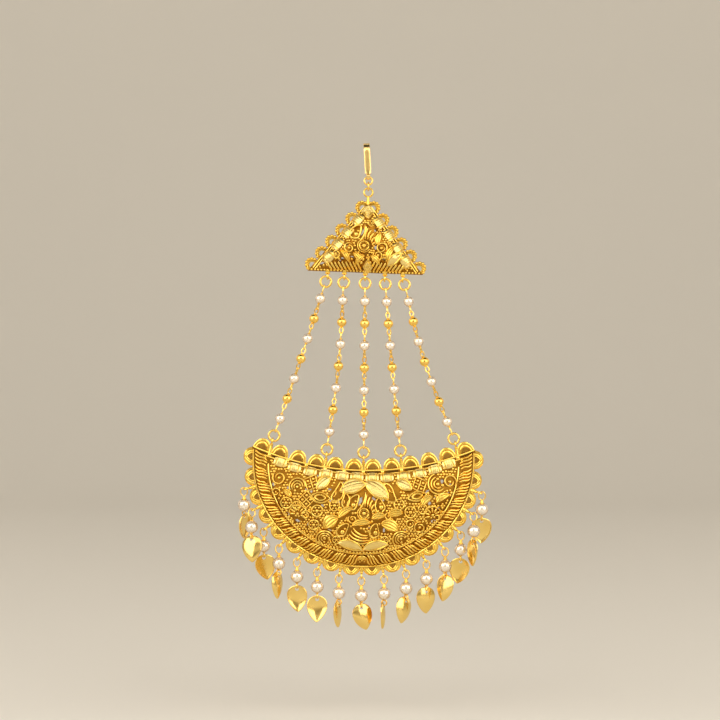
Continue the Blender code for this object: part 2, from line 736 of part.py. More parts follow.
def main():
    for obj in list(bpy.data.objects):
        bpy.data.objects.remove(obj)
    collection = new_collection("jhoomar")
    tools = new_collection("tools")
    gold = material("gold_plate", GOLD, 0.22, 1.0)
    pearl = material("pearl", PEARL, 0.25, 0.0)

    eye = make_hook(collection, tools, gold)
    ring_centre = eye - Vector((0, 0, JUMP_RADIUS))
    make_ring("hook_ring", ring_centre, JUMP_RADIUS, JUMP_WIRE, FACING, collection, gold)
    step = centre_distance(JUMP_RADIUS, JUMP_WIRE, JUMP_RADIUS, JUMP_WIRE)
    link_centre = ring_centre - Vector((0, 0, step))
    make_ring("plaque_link", link_centre, JUMP_RADIUS, JUMP_WIRE, EDGE_ON, collection, gold)
    step = centre_distance(JUMP_RADIUS, JUMP_WIRE, APEX_RING_RADIUS, JUMP_WIRE)
    apex_ring = link_centre - Vector((0, 0, step))
    upper_lugs = make_triangle(apex_ring, collection, tools, gold)

    middle = upper_lugs[len(upper_lugs) // 2]
    frame = Matrix.Translation(middle + Vector((CRESCENT_SIDE, 0, -CRESCENT_DROP)))
    frame = frame @ Matrix.Rotation(CRESCENT_ROLL, 4, "Y") @ Matrix.Rotation(CRESCENT_LEAN_BACK, 4, "X")
    string_lugs, drop_lugs = make_crescent(frame, collection, tools, gold)

    for number, (upper, lower, row) in enumerate(zip(upper_lugs, string_lugs, STRINGS), 1):
        make_string(number, upper, lower, row["bow"], collection, tools, gold)
    surface, punch = make_leaf_parts(tools, gold)
    for number, (web, row) in enumerate(zip(drop_lugs, DROPS), 1):
        make_drop(number, web, row, surface, punch, collection, tools, gold, pearl)


main()
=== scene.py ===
"""The looks of a jhoomar: polished gold-plated brass, stamped leaves and imitation pearls.

Every piece is made here in millimetres, in the frame of the CAD model, and stands for the CAD node that it
replaces. X runs to the viewer's right, Z up, and the ornament's face looks along -Y.
"""

import functools
import math
import random

import bmesh
import bpy
from mathutils import Matrix, Vector


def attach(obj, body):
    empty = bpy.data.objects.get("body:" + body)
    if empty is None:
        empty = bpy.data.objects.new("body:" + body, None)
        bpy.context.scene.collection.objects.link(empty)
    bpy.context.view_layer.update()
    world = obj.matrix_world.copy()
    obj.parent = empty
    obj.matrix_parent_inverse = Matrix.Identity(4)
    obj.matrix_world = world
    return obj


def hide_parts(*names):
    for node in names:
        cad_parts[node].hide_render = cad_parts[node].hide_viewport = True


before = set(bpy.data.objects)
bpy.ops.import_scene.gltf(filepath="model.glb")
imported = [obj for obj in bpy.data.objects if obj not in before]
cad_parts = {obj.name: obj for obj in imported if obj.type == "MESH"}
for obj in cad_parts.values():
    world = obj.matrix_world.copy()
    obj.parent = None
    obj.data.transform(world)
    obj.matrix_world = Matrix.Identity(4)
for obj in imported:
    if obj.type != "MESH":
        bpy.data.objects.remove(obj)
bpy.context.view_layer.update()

MM = 0.001
DRAW = random.Random(7)

# The photograph's frame: millimetres to a pixel, the pixel that the hang point lies at, and the camera's
# distance.
PHOTO_PIXELS = 720
MM_PER_PIXEL = 0.29
PHOTO_X = 366.5
PHOTO_Y = 145.0
CAMERA_DISTANCE = 580.0
CAMERA_LENS = 100.0
CAMERA_SENSOR = 36.0
CAMERA_X = (PHOTO_PIXELS / 2 - PHOTO_X) * MM_PER_PIXEL
CAMERA_Z = (PHOTO_Y - PHOTO_PIXELS / 2) * MM_PER_PIXEL

# Hook.
STRIP_WIDTH = 1.8
STRIP_THICKNESS = 0.5
HOOK_GAP = 4.6
FRONT_LEG = 9.5
BACK_LEG = 8.0
HOOK_LEAN = math.radians(3.2)
EYE_BORE = 0.54
EYE_WALL = 0.3
EYE_WIDTH = 1.1

# Rings of bent wire: wire thickness, and the radius of the wire's centre line.
JUMP_WIRE = 0.52
JUMP_RADIUS = 1.15
STRING_RING_WIRE = 0.68
STRING_RING_RADIUS = 1.55
LOOP_WIRE = 0.40
PIN_LOOP_RADIUS = 0.98
PIN_LOOP_STRETCH = 1.3
LEAF_LOOP_RADIUS = 0.76
LINK_PLAY = 0.16
LUG_HOLE = 0.62
LUG_WEB = 0.38

# Triangular plaque.
TRIANGLE_HALF_BASE = 16.7
TRIANGLE_HEIGHT = 20.3
TRIANGLE_DOME = 3.6
TRIANGLE_SLOPE = 5.6
TRIANGLE_ROLL = math.radians(2.2)
TRIANGLE_LEAN_BACK = math.radians(0.5)
APEX_RING_STAND = 2.9
APEX_RING_RADIUS = 1.26
TRIANGLE_LUG_REACH = 1.4
TRIANGLE_LOOPS = 6
TRIANGLE_LOOP_HEIGHT = 2.3

# Crescent plaque.
CRESCENT_HALF_WIDTH = 32.2
CRESCENT_HALF_HEIGHT = 31.0
CRESCENT_DEPTH = 28.5
CRESCENT_HOLLOW = 6.6
CRESCENT_DOME = 5.2
CRESCENT_TOP_SLOPE = 12.0
CRESCENT_LOWER_SLOPE = 13.0
CRESCENT_DROP = 55.8
CRESCENT_SIDE = -0.5
CRESCENT_ROLL = math.radians(1.0)
CRESCENT_LEAN_BACK = math.radians(6.3)
ARCHES = 12
ARCH_HEIGHT = 3.5
ARCH_GAP = 0.4
SCALLOPS = 18
SCALLOP_HEIGHT = 2.5
SCALLOP_GAP = 0.5
STRING_LUG_REACH = 3.6
DROP_LUG_REACH = 2.6

# Both plaques.
WALL = 0.8
FLANGE = 1.0
RIM_MIDDLE = WALL / 2
SHEET = 0.7
MOTIF_LIFT = 0.7
MOTIF_SCALE = 1.1
FEATHERS_RISE = (1.3, 2.9)
BOSS_ROOM = (2.2, 2.2)
FEATHERS_ROOM = (2.1, 3.4)

# The finest detail: slots under the arches, satin blocks, ribs, and the margins kept clear of fill beads.
SLOT_HALF_LENGTH = 1.75
SLOT_HALF_HEIGHT = 0.26
SLOT_DEPTH = 0.42
WALL_COLUMNS = 180
WALL_ROWS = 60
ROWS_AT_SLOTS = (0.0, 0.2, SLOT_DEPTH, 0.64, 0.9)
WALL_CORNER = 4.1
CRESCENT_PIP = (3.75, 2.55)
CRESCENT_PIP_ROOM = (1.9, 1.3)
TRIANGLE_PIP = (3.6, 2.8)
TRIANGLE_PIP_ROOM = (1.8, 1.4)
CRESCENT_GRAIN_PITCH = 0.86
TRIANGLE_GRAIN_PITCH = 0.76
RIB_BUNDLES = 12
RIBS_IN_BUNDLE = 4
RIB_WIDTH = 0.62
BAND_GRAINS = 58
BAND_GRAIN_DEPTH = 5.2
FIELD_TOP_MARGIN = 1.6
FIELD_LOWER_MARGIN = 5.4
BASE_RIBS = 9
BASE_RIB_FIRST = 0.95
BASE_RIB_PITCH = 1.05
LOOP_BEADS = 6
# Wires on the crescent: depth in from the edge, radius, height over the dome.
LOWER_WIRES = ((0.35, 0.3, 0.15), (4.75, 0.22, 0.3))
UPPER_WIRES = ((-0.1, 0.26, 0.1), (0.98, 0.2, 0.2))

# Beads and leaves.
STRING_BEADS = 7
PEARL = 3.0
GOLD_BEAD = 2.8
DROP_PEARL = 3.8
DROP_CAP_HEIGHT = 0.9
LOOP_SINK = 0.18
PIN_LENGTH = 2.1
LEAF_LENGTH = 8.0
LEAF_WIDTH = 6.1
LEAF_THICKNESS = 0.32
LEAF_DISH = 0.8
LEAF_HOLE = 0.54
LEAF_HOLE_EDGE = 0.75
LEAF_RIM = 0.2
LEAF_EDGE_INSET = 0.12
LEAF_RIM_INSET = 0.18

# How each string and each drop hangs, as in the CAD model.
STRINGS = (
    {"base": -0.65, "rim": -5, "bow": 0.3},
    {"base": -0.36, "rim": -2, "bow": 0.9},
    {"base": 0.00, "rim": 0, "bow": 0.0},
    {"base": 0.34, "rim": 2, "bow": -0.2},
    {"base": 0.65, "rim": 5, "bow": -1.3},
)
DROPS = (
    {"turn": -125, "lean": -6, "forward": -16},
    {"turn": -15, "lean": 2, "forward": 14},
    {"turn": 190, "lean": 8, "forward": -12},
    {"turn": 62, "lean": 0, "forward": 8},
    {"turn": 175, "lean": 3, "forward": -2},
    {"turn": 186, "lean": -2, "forward": 3},
    {"turn": 70, "lean": 5, "forward": -2},
    {"turn": 20, "lean": 15, "forward": 3},
    {"turn": 84, "lean": -3, "forward": -2},
    {"turn": 45, "lean": -14, "forward": 3},
    {"turn": 25, "lean": 0, "forward": -3},
    {"turn": -40, "lean": -12, "forward": 8},
    {"turn": 170, "lean": -8, "forward": -10},
    {"turn": 115, "lean": 0, "forward": 12},
    {"turn": 190, "lean": -2, "forward": -14},
)

# The cast work on the crescent. Each row has the motif, its middle in the photograph, its length and width,
# all in pixels, and its tilt in degrees, anticlockwise.
CRESCENT_MOTIFS = (
    ("mesh_leaf", 353.1, 488.0, 24, 12, 14),
    ("mesh_leaf", 376.5, 491.0, 25, 13, -30),
    ("comma", 336.0, 491.0, 17, 9, 62),
    ("comma", 391.5, 492.0, 17, 11, -58),
    ("ring_leaf", 320.1, 497.4, 19, 9, -6),
    ("ring_leaf", 417.1, 496.1, 18, 8, 14),
    ("mesh_leaf", 324.0, 483.2, 15, 9, 36),
    ("mesh_leaf", 404.0, 485.8, 15, 9, -22),
    ("lattice", 311.5, 482.5, 12, 12, 20),
    ("lattice", 419.5, 484.5, 12, 12, -20),
    ("lattice", 306.4, 499.5, 12, 13, 45),
    ("rosette", 334.5, 505.5, 10, 10, 0),
    ("rosette", 399.0, 504.5, 10, 10, 0),
    ("rosette", 410.6, 512.5, 11, 11, 0),
    ("rosette", 317.0, 511.0, 11, 11, 0),
    ("rosette", 313.6, 525.0, 10, 10, 0),
    ("rosette", 285.9, 503.0, 11, 11, 0),
    ("rosette", 296.5, 505.5, 8, 8, 0),
    ("drop_leaf", 354.8, 502.5, 14, 9, 60),
    ("drop_leaf", 380.8, 505.0, 12, 9, 105),
    ("drop_leaf", 343.9, 530.5, 14, 9, 55),
    ("drop_leaf", 375.8, 531.0, 13, 9, 85),
    ("comma", 344.0, 500.0, 11, 7, 80),
    ("ribbed_leaf", 345.5, 513.0, 16, 7, 34),
    ("ribbed_leaf", 331.5, 523.0, 16, 12, 40),
    ("ribbed_leaf", 361.5, 524.5, 18, 7, 8),
    ("ribbed_leaf", 389.5, 527.5, 17, 11, -22),
    ("ribbed_leaf", 395.5, 514.5, 14, 8, 10),
    ("ribbed_leaf", 378.5, 517.5, 13, 7, 12),
    ("shell", 323.0, 537.5, 15, 12, 45),
    ("shell", 399.5, 538.5, 15, 12, 60),
    ("stripes", 359.0, 536.0, 20, 11, -20),
    ("mesh_leaf", 350.0, 546.5, 23, 9, -16),
    ("mesh_leaf", 375.5, 547.0, 23, 9, 14),
    ("curl", 279.0, 477.5, 12, 12, 200),
    ("shell", 296.5, 484.0, 14, 14, 20),
    ("daisy", 297.5, 514.0, 14, 12, 80),
    ("shell", 436.0, 485.5, 17, 15, 130),
    ("curl", 450.0, 481.5, 12, 12, 20),
    ("daisy", 433.0, 515.5, 14, 12, 96),
    ("rosette", 423.0, 509.5, 9, 9, 0),
    ("curl", 420.0, 528.0, 11, 11, 140),
    ("ribbed_leaf", 427.0, 501.0, 13, 7, 40),
    ("ribbed_leaf", 443.0, 498.5, 14, 7, 30),
    ("curl", 410.5, 524.5, 9, 9, 60),
    ("curl", 275.5, 492.0, 8, 8, 10),
    ("ribbed_leaf", 287.0, 493.5, 9, 6, -40),
    ("curl", 305.5, 515.0, 8, 8, 90),
    ("rosette", 384.5, 540.5, 8, 8, 0),
    ("rosette", 336.5, 540.0, 8, 8, 0),
    ("curl", 388.5, 516.5, 7, 7, 90),
    ("curl", 352.5, 519.5, 8, 8, 200),
    ("shell", 361.8, 559.8, 10, 9, 5),
)
CRESCENT_BOSS = (364.0, 513.5)
CRESCENT_PIPS = (
    (280.5, 461.5), (294.8, 466.4), (310.4, 470.4), (326.1, 472.7), (342.1, 474.5), (356.9, 475.8),
    (372.1, 476.4), (386.9, 476.4), (403.5, 474.9), (419.5, 472.1), (434.7, 468.1), (448.7, 463.2),
)
# Holes cut through the wall: middle, length and width in pixels, and tilt in degrees.
CRESCENT_HOLES = (
    (344.4, 482.0, 3.0, 2.2, 0), (361.8, 482.8, 3.6, 2.0, -10), (331.4, 500.4, 4.0, 2.6, 20),
    (338.2, 501.8, 3.0, 2.4, 60), (360.3, 501.0, 9.5, 2.4, 72), (374.0, 499.0, 4.4, 2.4, -30),
    (382.0, 500.2, 3.0, 2.0, 0), (337.4, 536.6, 4.2, 1.9, -10), (404.6, 530.7, 2.4, 3.4, 0),
    (407.0, 480.8, 5.4, 2.5, 0), (307.7, 524.6, 2.0, 5.0, 0), (409.7, 519.4, 2.6, 2.4, 0),
    (273.2, 484.5, 3.4, 3.6, 0), (288.3, 489.2, 4.4, 5.6, 0), (287.2, 514.0, 4.4, 3.2, -30),
    (297.0, 521.2, 4.4, 3.6, 0), (316.6, 483.5, 6.0, 1.8, 50), (329.6, 489.4, 3.0, 2.6, 0),
    (311.3, 491.0, 2.4, 2.2, 0), (306.5, 489.0, 3.0, 2.0, 40), (441.9, 481.2, 2.6, 3.4, 0),
    (429.6, 503.4, 3.2, 3.2, 0), (438.4, 508.4, 3.6, 2.6, -30), (433.6, 521.8, 5.0, 4.2, 0),
    (451.0, 484.8, 3.0, 2.2, 0), (448.0, 493.4, 3.4, 2.2, 30), (435.9, 498.0, 4.0, 2.4, 40),
    (384.0, 531.0, 2.0, 4.6, 0), (352.0, 540.0, 3.0, 2.0, 0), (329.0, 530.0, 4.0, 2.0, -40),
    (283.4, 507.4, 2.6, 2.4, 0), (318.2, 475.6, 3.0, 2.0, -20), (322.5, 505.5, 3.4, 1.8, -30),
    (369.5, 527.5, 2.2, 2.4, 0), (427.0, 491.6, 5.0, 2.0, 40),
)

TRIANGLE_BOSS = (364.1, 245.5)
TRIANGLE_PIPS = (
    (357.0, 218.7, 49), (346.6, 231.0, 49), (336.9, 242.8, 49), (327.8, 256.0, 49),
    (380.4, 221.6, -55), (390.5, 234.2, -55), (399.1, 247.6, -55), (406.4, 260.8, -55),
)
TRIANGLE_MOTIFS = (
    ("drop_leaf", 357.2, 231.5, 13, 9, 60),
    ("ribbed_leaf", 379.6, 238.5, 11, 6, 85),
    ("curl", 349.0, 247.5, 9, 9, 120),
    ("ribbed_leaf", 345.0, 256.5, 12, 5, -48),
    ("ribbed_leaf", 356.5, 257.5, 10, 5, -48),
    ("curl", 381.5, 248.0, 10, 10, 30),
    ("ribbed_leaf", 391.0, 252.5, 12, 6, 66),
    ("mesh_leaf", 394.5, 260.5, 14, 7, 38),
    ("curl", 378.0, 255.5, 9, 9, 200),
    ("rosette", 336.0, 254.0, 6, 6, 0),
    ("rosette", 371.5, 223.0, 6, 6, 0),
    ("ribbed_leaf", 360.0, 260.0, 11, 5, 42),
    ("ribbed_leaf", 375.0, 260.5, 11, 5, -38),
)
TRIANGLE_HOLES = (
    (362.6, 231.5, 9.0, 2.4, 66), (361.3, 223.3, 4.0, 2.4, 10), (346.3, 244.5, 3.0, 4.4, 0),
    (342.6, 259.0, 4.0, 1.8, -40), (352.5, 257.5, 4.6, 1.8, -45), (321.6, 263.4, 4.0, 3.0, 0),
    (375.6, 247.4, 2.4, 3.4, 0), (375.6, 230.0, 2.8, 2.6, 0), (382.3, 231.4, 2.6, 2.0, 0),
    (386.2, 247.6, 2.2, 5.0, 0), (384.5, 259.5, 4.0, 2.0, 20), (339.3, 261.0, 3.0, 2.2, 0),
    (372.5, 258.0, 2.6, 2.2, 0),
)
# Lozenges: middle, length and width in pixels, and how far the near end leans out for each millimetre.
TRIANGLE_LOZENGE = (367.6, 265.6, 11.5, 9.5, 0.45)
TRIANGLE_CROWN = (369.2, 212.0, 13.0, 10.5, 0.0)


# Finishes.


def linear(hex_colour):
    """An sRGB hex colour as linear red, green, blue and alpha."""
    parts = [int(hex_colour[i : i + 2], 16) / 255 for i in (1, 3, 5)]
    return tuple(c / 12.92 if c <= 0.04045 else ((c + 0.055) / 1.055) ** 2.4 for c in parts) + (1.0,)


def add_node(tree, kind, settings=None, **inputs):
    """Adds a node. settings are its own fields. inputs are its sockets, by name, or by number as in _6."""
    node = tree.nodes.new(kind)
    for field, value in (settings or {}).items():
        setattr(node, field, value)
    for key, value in inputs.items():
        socket = node.inputs[int(key[1:])] if key[0] == "_" else node.inputs[key.replace("_", " ")]
        if isinstance(value, bpy.types.NodeSocket):
            tree.links.new(value, socket)
        else:
            socket.default_value = value
    return node


def blend(tree, factor, first, second):
    """A colour between two others. Sockets 6 and 7 of a mix node are its colours, output 2 their blend."""
    node = add_node(tree, "ShaderNodeMix", {"data_type": "RGBA"}, Factor=factor, _6=first, _7=second)
    return node.outputs[2]


def new_material(name):
    """An empty material's node tree, its shader and its place in the object's own millimetres."""
    made = bpy.data.materials.new(name)
    made.use_nodes = True
    tree = made.node_tree
    place = add_node(tree, "ShaderNodeTexCoord").outputs["Object"]
    scaled = add_node(tree, "ShaderNodeVectorMath", {"operation": "SCALE"}, Vector=place, Scale=1 / MM)
    return made, tree, tree.nodes["Principled BSDF"], scaled.outputs[0]


def plated_gold(name, light, deep, roughness, spread, grain_mm, grain_depth):
    """Gold-plated brass: two close golds in soft patches, with a fine grain in the plating and its gloss.

    roughness varies by spread either way. The grain's size and depth are in millimetres.
    """
    made, tree, shader, place = new_material(name)
    patches = add_node(tree, "ShaderNodeTexNoise", Vector=place, Scale=0.35, Detail=3.0)
    grain = add_node(tree, "ShaderNodeTexNoise", Vector=place, Scale=1 / grain_mm, Detail=4.0)
    colour = blend(tree, patches.outputs[0], linear(light), linear(deep))
    gloss = add_node(
        tree,
        "ShaderNodeMapRange",
        _0=grain.outputs[0],
        _1=0.3,
        _2=0.7,
        _3=roughness - spread,
        _4=roughness + spread,
    )
    depth = grain_depth * MM
    bump = add_node(tree, "ShaderNodeBump", Height=grain.outputs[0], Strength=0.35, Distance=depth)
    tree.links.new(colour, shader.inputs["Base Color"])
    tree.links.new(gloss.outputs[0], shader.inputs["Roughness"])
    tree.links.new(bump.outputs[0], shader.inputs["Normal"])
    shader.inputs["Metallic"].default_value = 1.0
    return made


def pearl_lacquer(name):
    """Imitation pearl: a moulded bead under layers of pearl lacquer.

    The lacquer is pale where it faces the eye; to the sides its colour turns golden brown, a painted
    reflection of the gold round it. A sharp highlight in the clear coat lies over a soft one below.
    """
    made, tree, shader, place = new_material(name)
    facing = add_node(tree, "ShaderNodeLayerWeight", Blend=0.45)
    clouds = add_node(tree, "ShaderNodeTexNoise", Vector=place, Scale=0.6, Detail=2.0)
    ivory = blend(tree, clouds.outputs[0], linear("#FBF3E4"), linear("#F2E4CC"))
    # Painted reflection: golden brown towards the pearl's edges, by the layer weight's facing share.
    colour = blend(tree, facing.outputs["Facing"], ivory, linear("#A4742E"))
    tree.links.new(colour, shader.inputs["Base Color"])
    shader.inputs["Roughness"].default_value = 0.15
    shader.inputs["Metallic"].default_value = 0.55
    shader.inputs["Subsurface Weight"].default_value = 0.12
    shader.inputs["Subsurface Radius"].default_value = (0.0012, 0.0008, 0.0005)
    shader.inputs["Coat Weight"].default_value = 1.0
    shader.inputs["Coat Roughness"].default_value = 0.06
    shader.inputs["Coat IOR"].default_value = 1.9
    return made


def studio_paint(name, colour):
    """Matt painted board for the floor and the backdrop."""
    made, tree, shader, place = new_material(name)
    grain = add_node(tree, "ShaderNodeTexNoise", Vector=place, Scale=0.4, Detail=3.0)
    bump = add_node(tree, "ShaderNodeBump", Height=grain.outputs[0], Strength=0.05, Distance=0.2 * MM)
    tree.links.new(bump.outputs[0], shader.inputs["Normal"])
    shader.inputs["Base Color"].default_value = linear(colour)
    shader.inputs["Roughness"].default_value = 0.85
    return made


# Cast and polished: a yellow with small hard highlights that run along each crest.
CAST_GOLD = plated_gold("cast_brass_gold_plated", "#F6D974", "#F0C04A", 0.16, 0.05, 0.35, 0.05)
# The cast ground that no polishing reaches is matt; its dark amber is painted shade, the shade that falls
# in the recesses, so that the relief stands out from it.
SHADED_RECESS_GOLD = plated_gold(
    "cast_brass_matt_ground_painted_shade", "#B68228", "#744A14", 0.38, 0.08, 0.30, 0.10
)
# The flat plate behind the arches: duller still, with only a broad, weak sheen; its darker gold is painted
# shade for the hollow behind the arches.
SHADED_PLATE_GOLD = plated_gold("cast_brass_dull_plate_painted_shade", "#C69A48", "#8C6424", 0.46, 0.08, 0.30, 0.10)
# Cast and left satin: pale, with one wide soft glow over each block.
SATIN_GOLD = plated_gold("cast_brass_satin_gold_plated", "#F7E092", "#EDCC76", 0.33, 0.07, 0.30, 0.10)
# Drawn wire: bright thin lines of light along each bend.
WIRE_GOLD = plated_gold("drawn_brass_wire_gold_plated", "#FFDE84", "#F9CC60", 0.15, 0.04, 0.50, 0.03)
# Spun hollow beads: the smoothest of them, with small mirrored windows.
BEAD_GOLD = plated_gold("hollow_brass_bead_gold_plated", "#FFDA7A", "#F9C85A", 0.12, 0.03, 0.60, 0.02)
# Stamped sheet: smooth, with broad reflections that change with each leaf's turn.
LEAF_GOLD = plated_gold("stamped_brass_gold_plated", "#FADC8C", "#EEC868", 0.17, 0.05, 0.45, 0.04)
# Brushed strip: paler, with its highlight a little spread.
STRIP_GOLD = plated_gold("brushed_brass_strip_gold_plated", "#FFE19A", "#F3CE7C", 0.22, 0.05, 0.40, 0.04)
PEARL_LACQUER = pearl_lacquer("imitation_pearl_lacquer")


# Mesh building.


class Work:
    """Points and faces, in millimetres, that become one mesh."""

    def __init__(self):
        self.points = []
        self.faces = []

    def loft(self, rings, closed=False):
        """Skins a row of rings of points. Its two ends are filled, unless the row closes on itself."""
        first = len(self.points)
        around = len(rings[0])
        for ring in rings:
            self.points.extend(ring)
        for i in range(len(rings) if closed else len(rings) - 1):
            here = first + i * around
            there = first + (i + 1) % len(rings) * around
            for k in range(around):
                after = (k + 1) % around
                self.faces.append((here + k, here + after, there + after, there + k))
        if not closed:
            last = first + (len(rings) - 1) * around
            self.faces.append(tuple(range(first, first + around)))
            self.faces.append(tuple(range(last, last + around)))


def add_piece(name, work, finish, slot, body, *nodes, sharp=38):
    """Makes the mesh, gives it its finish, lets it ride on its body and stand for its CAD nodes."""
    mesh = bpy.data.meshes.new(name)
    mesh.from_pydata([point * MM for point in work.points], [], work.faces)
    bm = bmesh.new()
    bm.from_mesh(mesh)
    bmesh.ops.remove_doubles(bm, verts=bm.verts, dist=1e-7)
    bmesh.ops.recalc_face_normals(bm, faces=bm.faces)
    bm.to_mesh(mesh)
    bm.free()
    mesh.polygons.foreach_set("use_smooth", [True] * len(mesh.polygons))
    mesh.set_sharp_from_angle(angle=math.radians(sharp))
    mesh.materials.append(finish)
    piece = bpy.data.objects.new(name, mesh)
    bpy.context.scene.collection.objects.link(piece)
    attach(piece, body)
    if nodes:
        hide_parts(*nodes)
    return piece


def spread(count, start=0.0, end=1.0):
    """Evenly spaced numbers from start to end, both included."""
    return [start + (end - start) * i / (count - 1) for i in range(count)]


def round_angles(count):
    """Angles evenly spaced round a whole turn."""
    return [2 * math.pi * k / count for k in range(count)]


def wire(work, points, radius, across, sides=8, closed=False):
    """Round wire along the points. across is a direction that the wire never runs in."""
    rings = []
    for i, point in enumerate(points):
        before = points[i - 1] if closed or i else point
        after = points[(i + 1) % len(points)] if closed or i < len(points) - 1 else point
        along = (after - before).normalized()
        side = along.cross(across).normalized()
        up = side.cross(along)
        size = radius[i] if isinstance(radius, (list, tuple)) else radius
        turns = round_angles(sides)
        rings.append([point + (side * math.cos(a) + up * math.sin(a)) * size for a in turns])
    work.loft(rings, closed)


def ring(work, matrix, radius, wire_radius, stretch=1.0, steps=36, sides=10):
    """A closed ring in the matrix's XY plane, longer along Y by stretch."""
    angles = round_angles(steps)
    points = [matrix @ Vector((radius * math.cos(a), radius * stretch * math.sin(a), 0)) for a in angles]
    wire(work, points, wire_radius, matrix.to_3x3() @ Vector((0, 0, 1)), sides, closed=True)


def turned(work, matrix, profile, sides=24):
    """A solid turned round the matrix's Z axis. profile is (radius, height) from one end to the other."""
    rings = []
    for radius, height in profile:
        places = [(radius * math.cos(a), radius * math.sin(a), height) for a in round_angles(sides)]
        rings.append([matrix @ Vector(place) for place in places])
    work.loft(rings)


def ball(work, centre, radius, up=Vector((0, 0, 1)), sides=28, rows=14):
    """A sphere with small flats at its two ends, where its bore is."""
    angles = spread(rows, 0.12, math.pi - 0.12)
    profile = [(radius * math.sin(a), radius * math.cos(a)) for a in angles]
    turned(work, upright(centre, up), profile, sides)


def upright(origin, up):
    """A frame whose Z runs along up and whose Y stays as near the world's as it can."""
    z = up.normalized()
    x = Vector((0, 1, 0)).cross(z).normalized()
    made = Matrix((x, z.cross(x), z)).transposed().to_4x4()
    made.translation = origin
    return made


FACING = Matrix.Rotation(math.pi / 2, 4, "X")
EDGE_ON = Matrix.Rotation(math.pi / 2, 4, "Z") @ FACING


# Lines and rims.


def walk(points, distance):
    """The point and the direction at a distance along a line of points."""
    for a, b in zip(points, points[1:]):
        step = b - a
        if distance <= step.length or b is points[-1]:
            return a + step.normalized() * distance, step.normalized()
        distance -= step.length


def length_of(points):
    return sum((b - a).length for a, b in zip(points, points[1:]))


def centre_distance(upper_radius, upper_wire, lower_radius, lower_wire):
    """How far apart the centres of two linked rings hang."""
    return upper_radius + lower_radius - (upper_wire + lower_wire) / 2 - LINK_PLAY


def rim_frame(point, outward):
    """A frame half way through a plaque's rim: X along the rim, Y outwards, Z to the back."""
    y = outward.normalized()
    z = Vector((0, 1, 0))
    made = Matrix((y.cross(z), y, z)).transposed().to_4x4()
    made.translation = point + Vector((0, RIM_MIDDLE, 0))
    return made


# The domes that the cast work lies on.


def dome_share(distance, slope):
    """How far up a dome its wall is, this far in from its rim: 0 at the rim and 1 past the slope."""
    return math.sin(min(max(distance / slope, 0.0), 1.0) * math.pi / 2)


def from_slanted_side(u, z):
    """How far in from the triangle's nearer slanted side a point is. z is measured from the apex."""
    across = -z * TRIANGLE_HALF_BASE - abs(u) * TRIANGLE_HEIGHT
    return across / math.hypot(TRIANGLE_HALF_BASE, TRIANGLE_HEIGHT)


def triangle_height(u, v):
    """The triangle's dome. v is measured from the apex ring's centre."""
    z = v + APEX_RING_STAND
    rise = dome_share(from_slanted_side(u, z), TRIANGLE_SLOPE)
    return TRIANGLE_DOME * rise * dome_share(TRIANGLE_HEIGHT + z - FLANGE, TRIANGLE_SLOPE * 0.8)


CRESCENT_TOP_RADIUS = (CRESCENT_HALF_WIDTH**2 + CRESCENT_HOLLOW**2) / (2 * CRESCENT_HOLLOW)
CRESCENT_MIDDLE = CRESCENT_HALF_HEIGHT - CRESCENT_DEPTH


def below_top_edge(u, v):
    """How far below the crescent's top edge a point is."""
    return math.hypot(u, v - CRESCENT_TOP_RADIUS) - CRESCENT_TOP_RADIUS


def in_from_ellipse(u, v):
    """How far in from the crescent's lower ellipse a point is, as a share of the ellipse: 0 on it."""
    return 1 - math.hypot(u / CRESCENT_HALF_WIDTH, (v - CRESCENT_MIDDLE) / CRESCENT_HALF_HEIGHT)


def crescent_height(u, v):
    """The crescent's dome: the product of its rise from the top edge and from the lower edge."""
    from_top = below_top_edge(u, v)
    inwards = in_from_ellipse(u, v)
    if v > CRESCENT_MIDDLE:
        inwards = 1 - abs(u) / CRESCENT_HALF_WIDTH
    rise = dome_share(from_top - FLANGE, CRESCENT_TOP_SLOPE)
    return CRESCENT_DOME * rise * dome_share(inwards * CRESCENT_HALF_WIDTH - FLANGE, CRESCENT_LOWER_SLOPE)


class Dome:
    """A plaque's front: u to the right and v up in its plane, with a height over that plane."""

    def __init__(self, matrix, height):
        self.matrix = matrix
        self.height = height

    def at(self, u, v, h=0.0):
        """The point that lies h above the dome."""
        near = 0.05
        slope_u = (self.height(u + near, v) - self.height(u - near, v)) / (2 * near)
        slope_v = (self.height(u, v + near) - self.height(u, v - near)) / (2 * near)
        normal = Vector((-slope_u, -1, -slope_v)).normalized()
        return self.matrix @ (Vector((u, -self.height(u, v), v)) + normal * h)

    def from_photo(self, px, py, lift=0.0):
        """Where a pixel of the photograph lies, this far above the dome."""
        u, v = 0.0, 0.0
        for _ in range(8):
            here = self.at(u, v, lift)
            nearer = 1 + here.y / CAMERA_DISTANCE
            u += CAMERA_X + ((px - PHOTO_X) * MM_PER_PIXEL - CAMERA_X) * nearer - here.x
            v += CAMERA_Z + ((PHOTO_Y - py) * MM_PER_PIXEL - CAMERA_Z) * nearer - here.z
        return u, v

    def putter(self, u, v, tilt=0.0):
        """A function that places a motif's own x, y and height on the dome, turned by tilt degrees."""
        c, s = math.cos(math.radians(tilt)), math.sin(math.radians(tilt))
        return lambda x, y, h: self.at(u + x * c - y * s, v + x * s + y * c, h)


# The cast motifs. Each is laid along its own x by a put function.


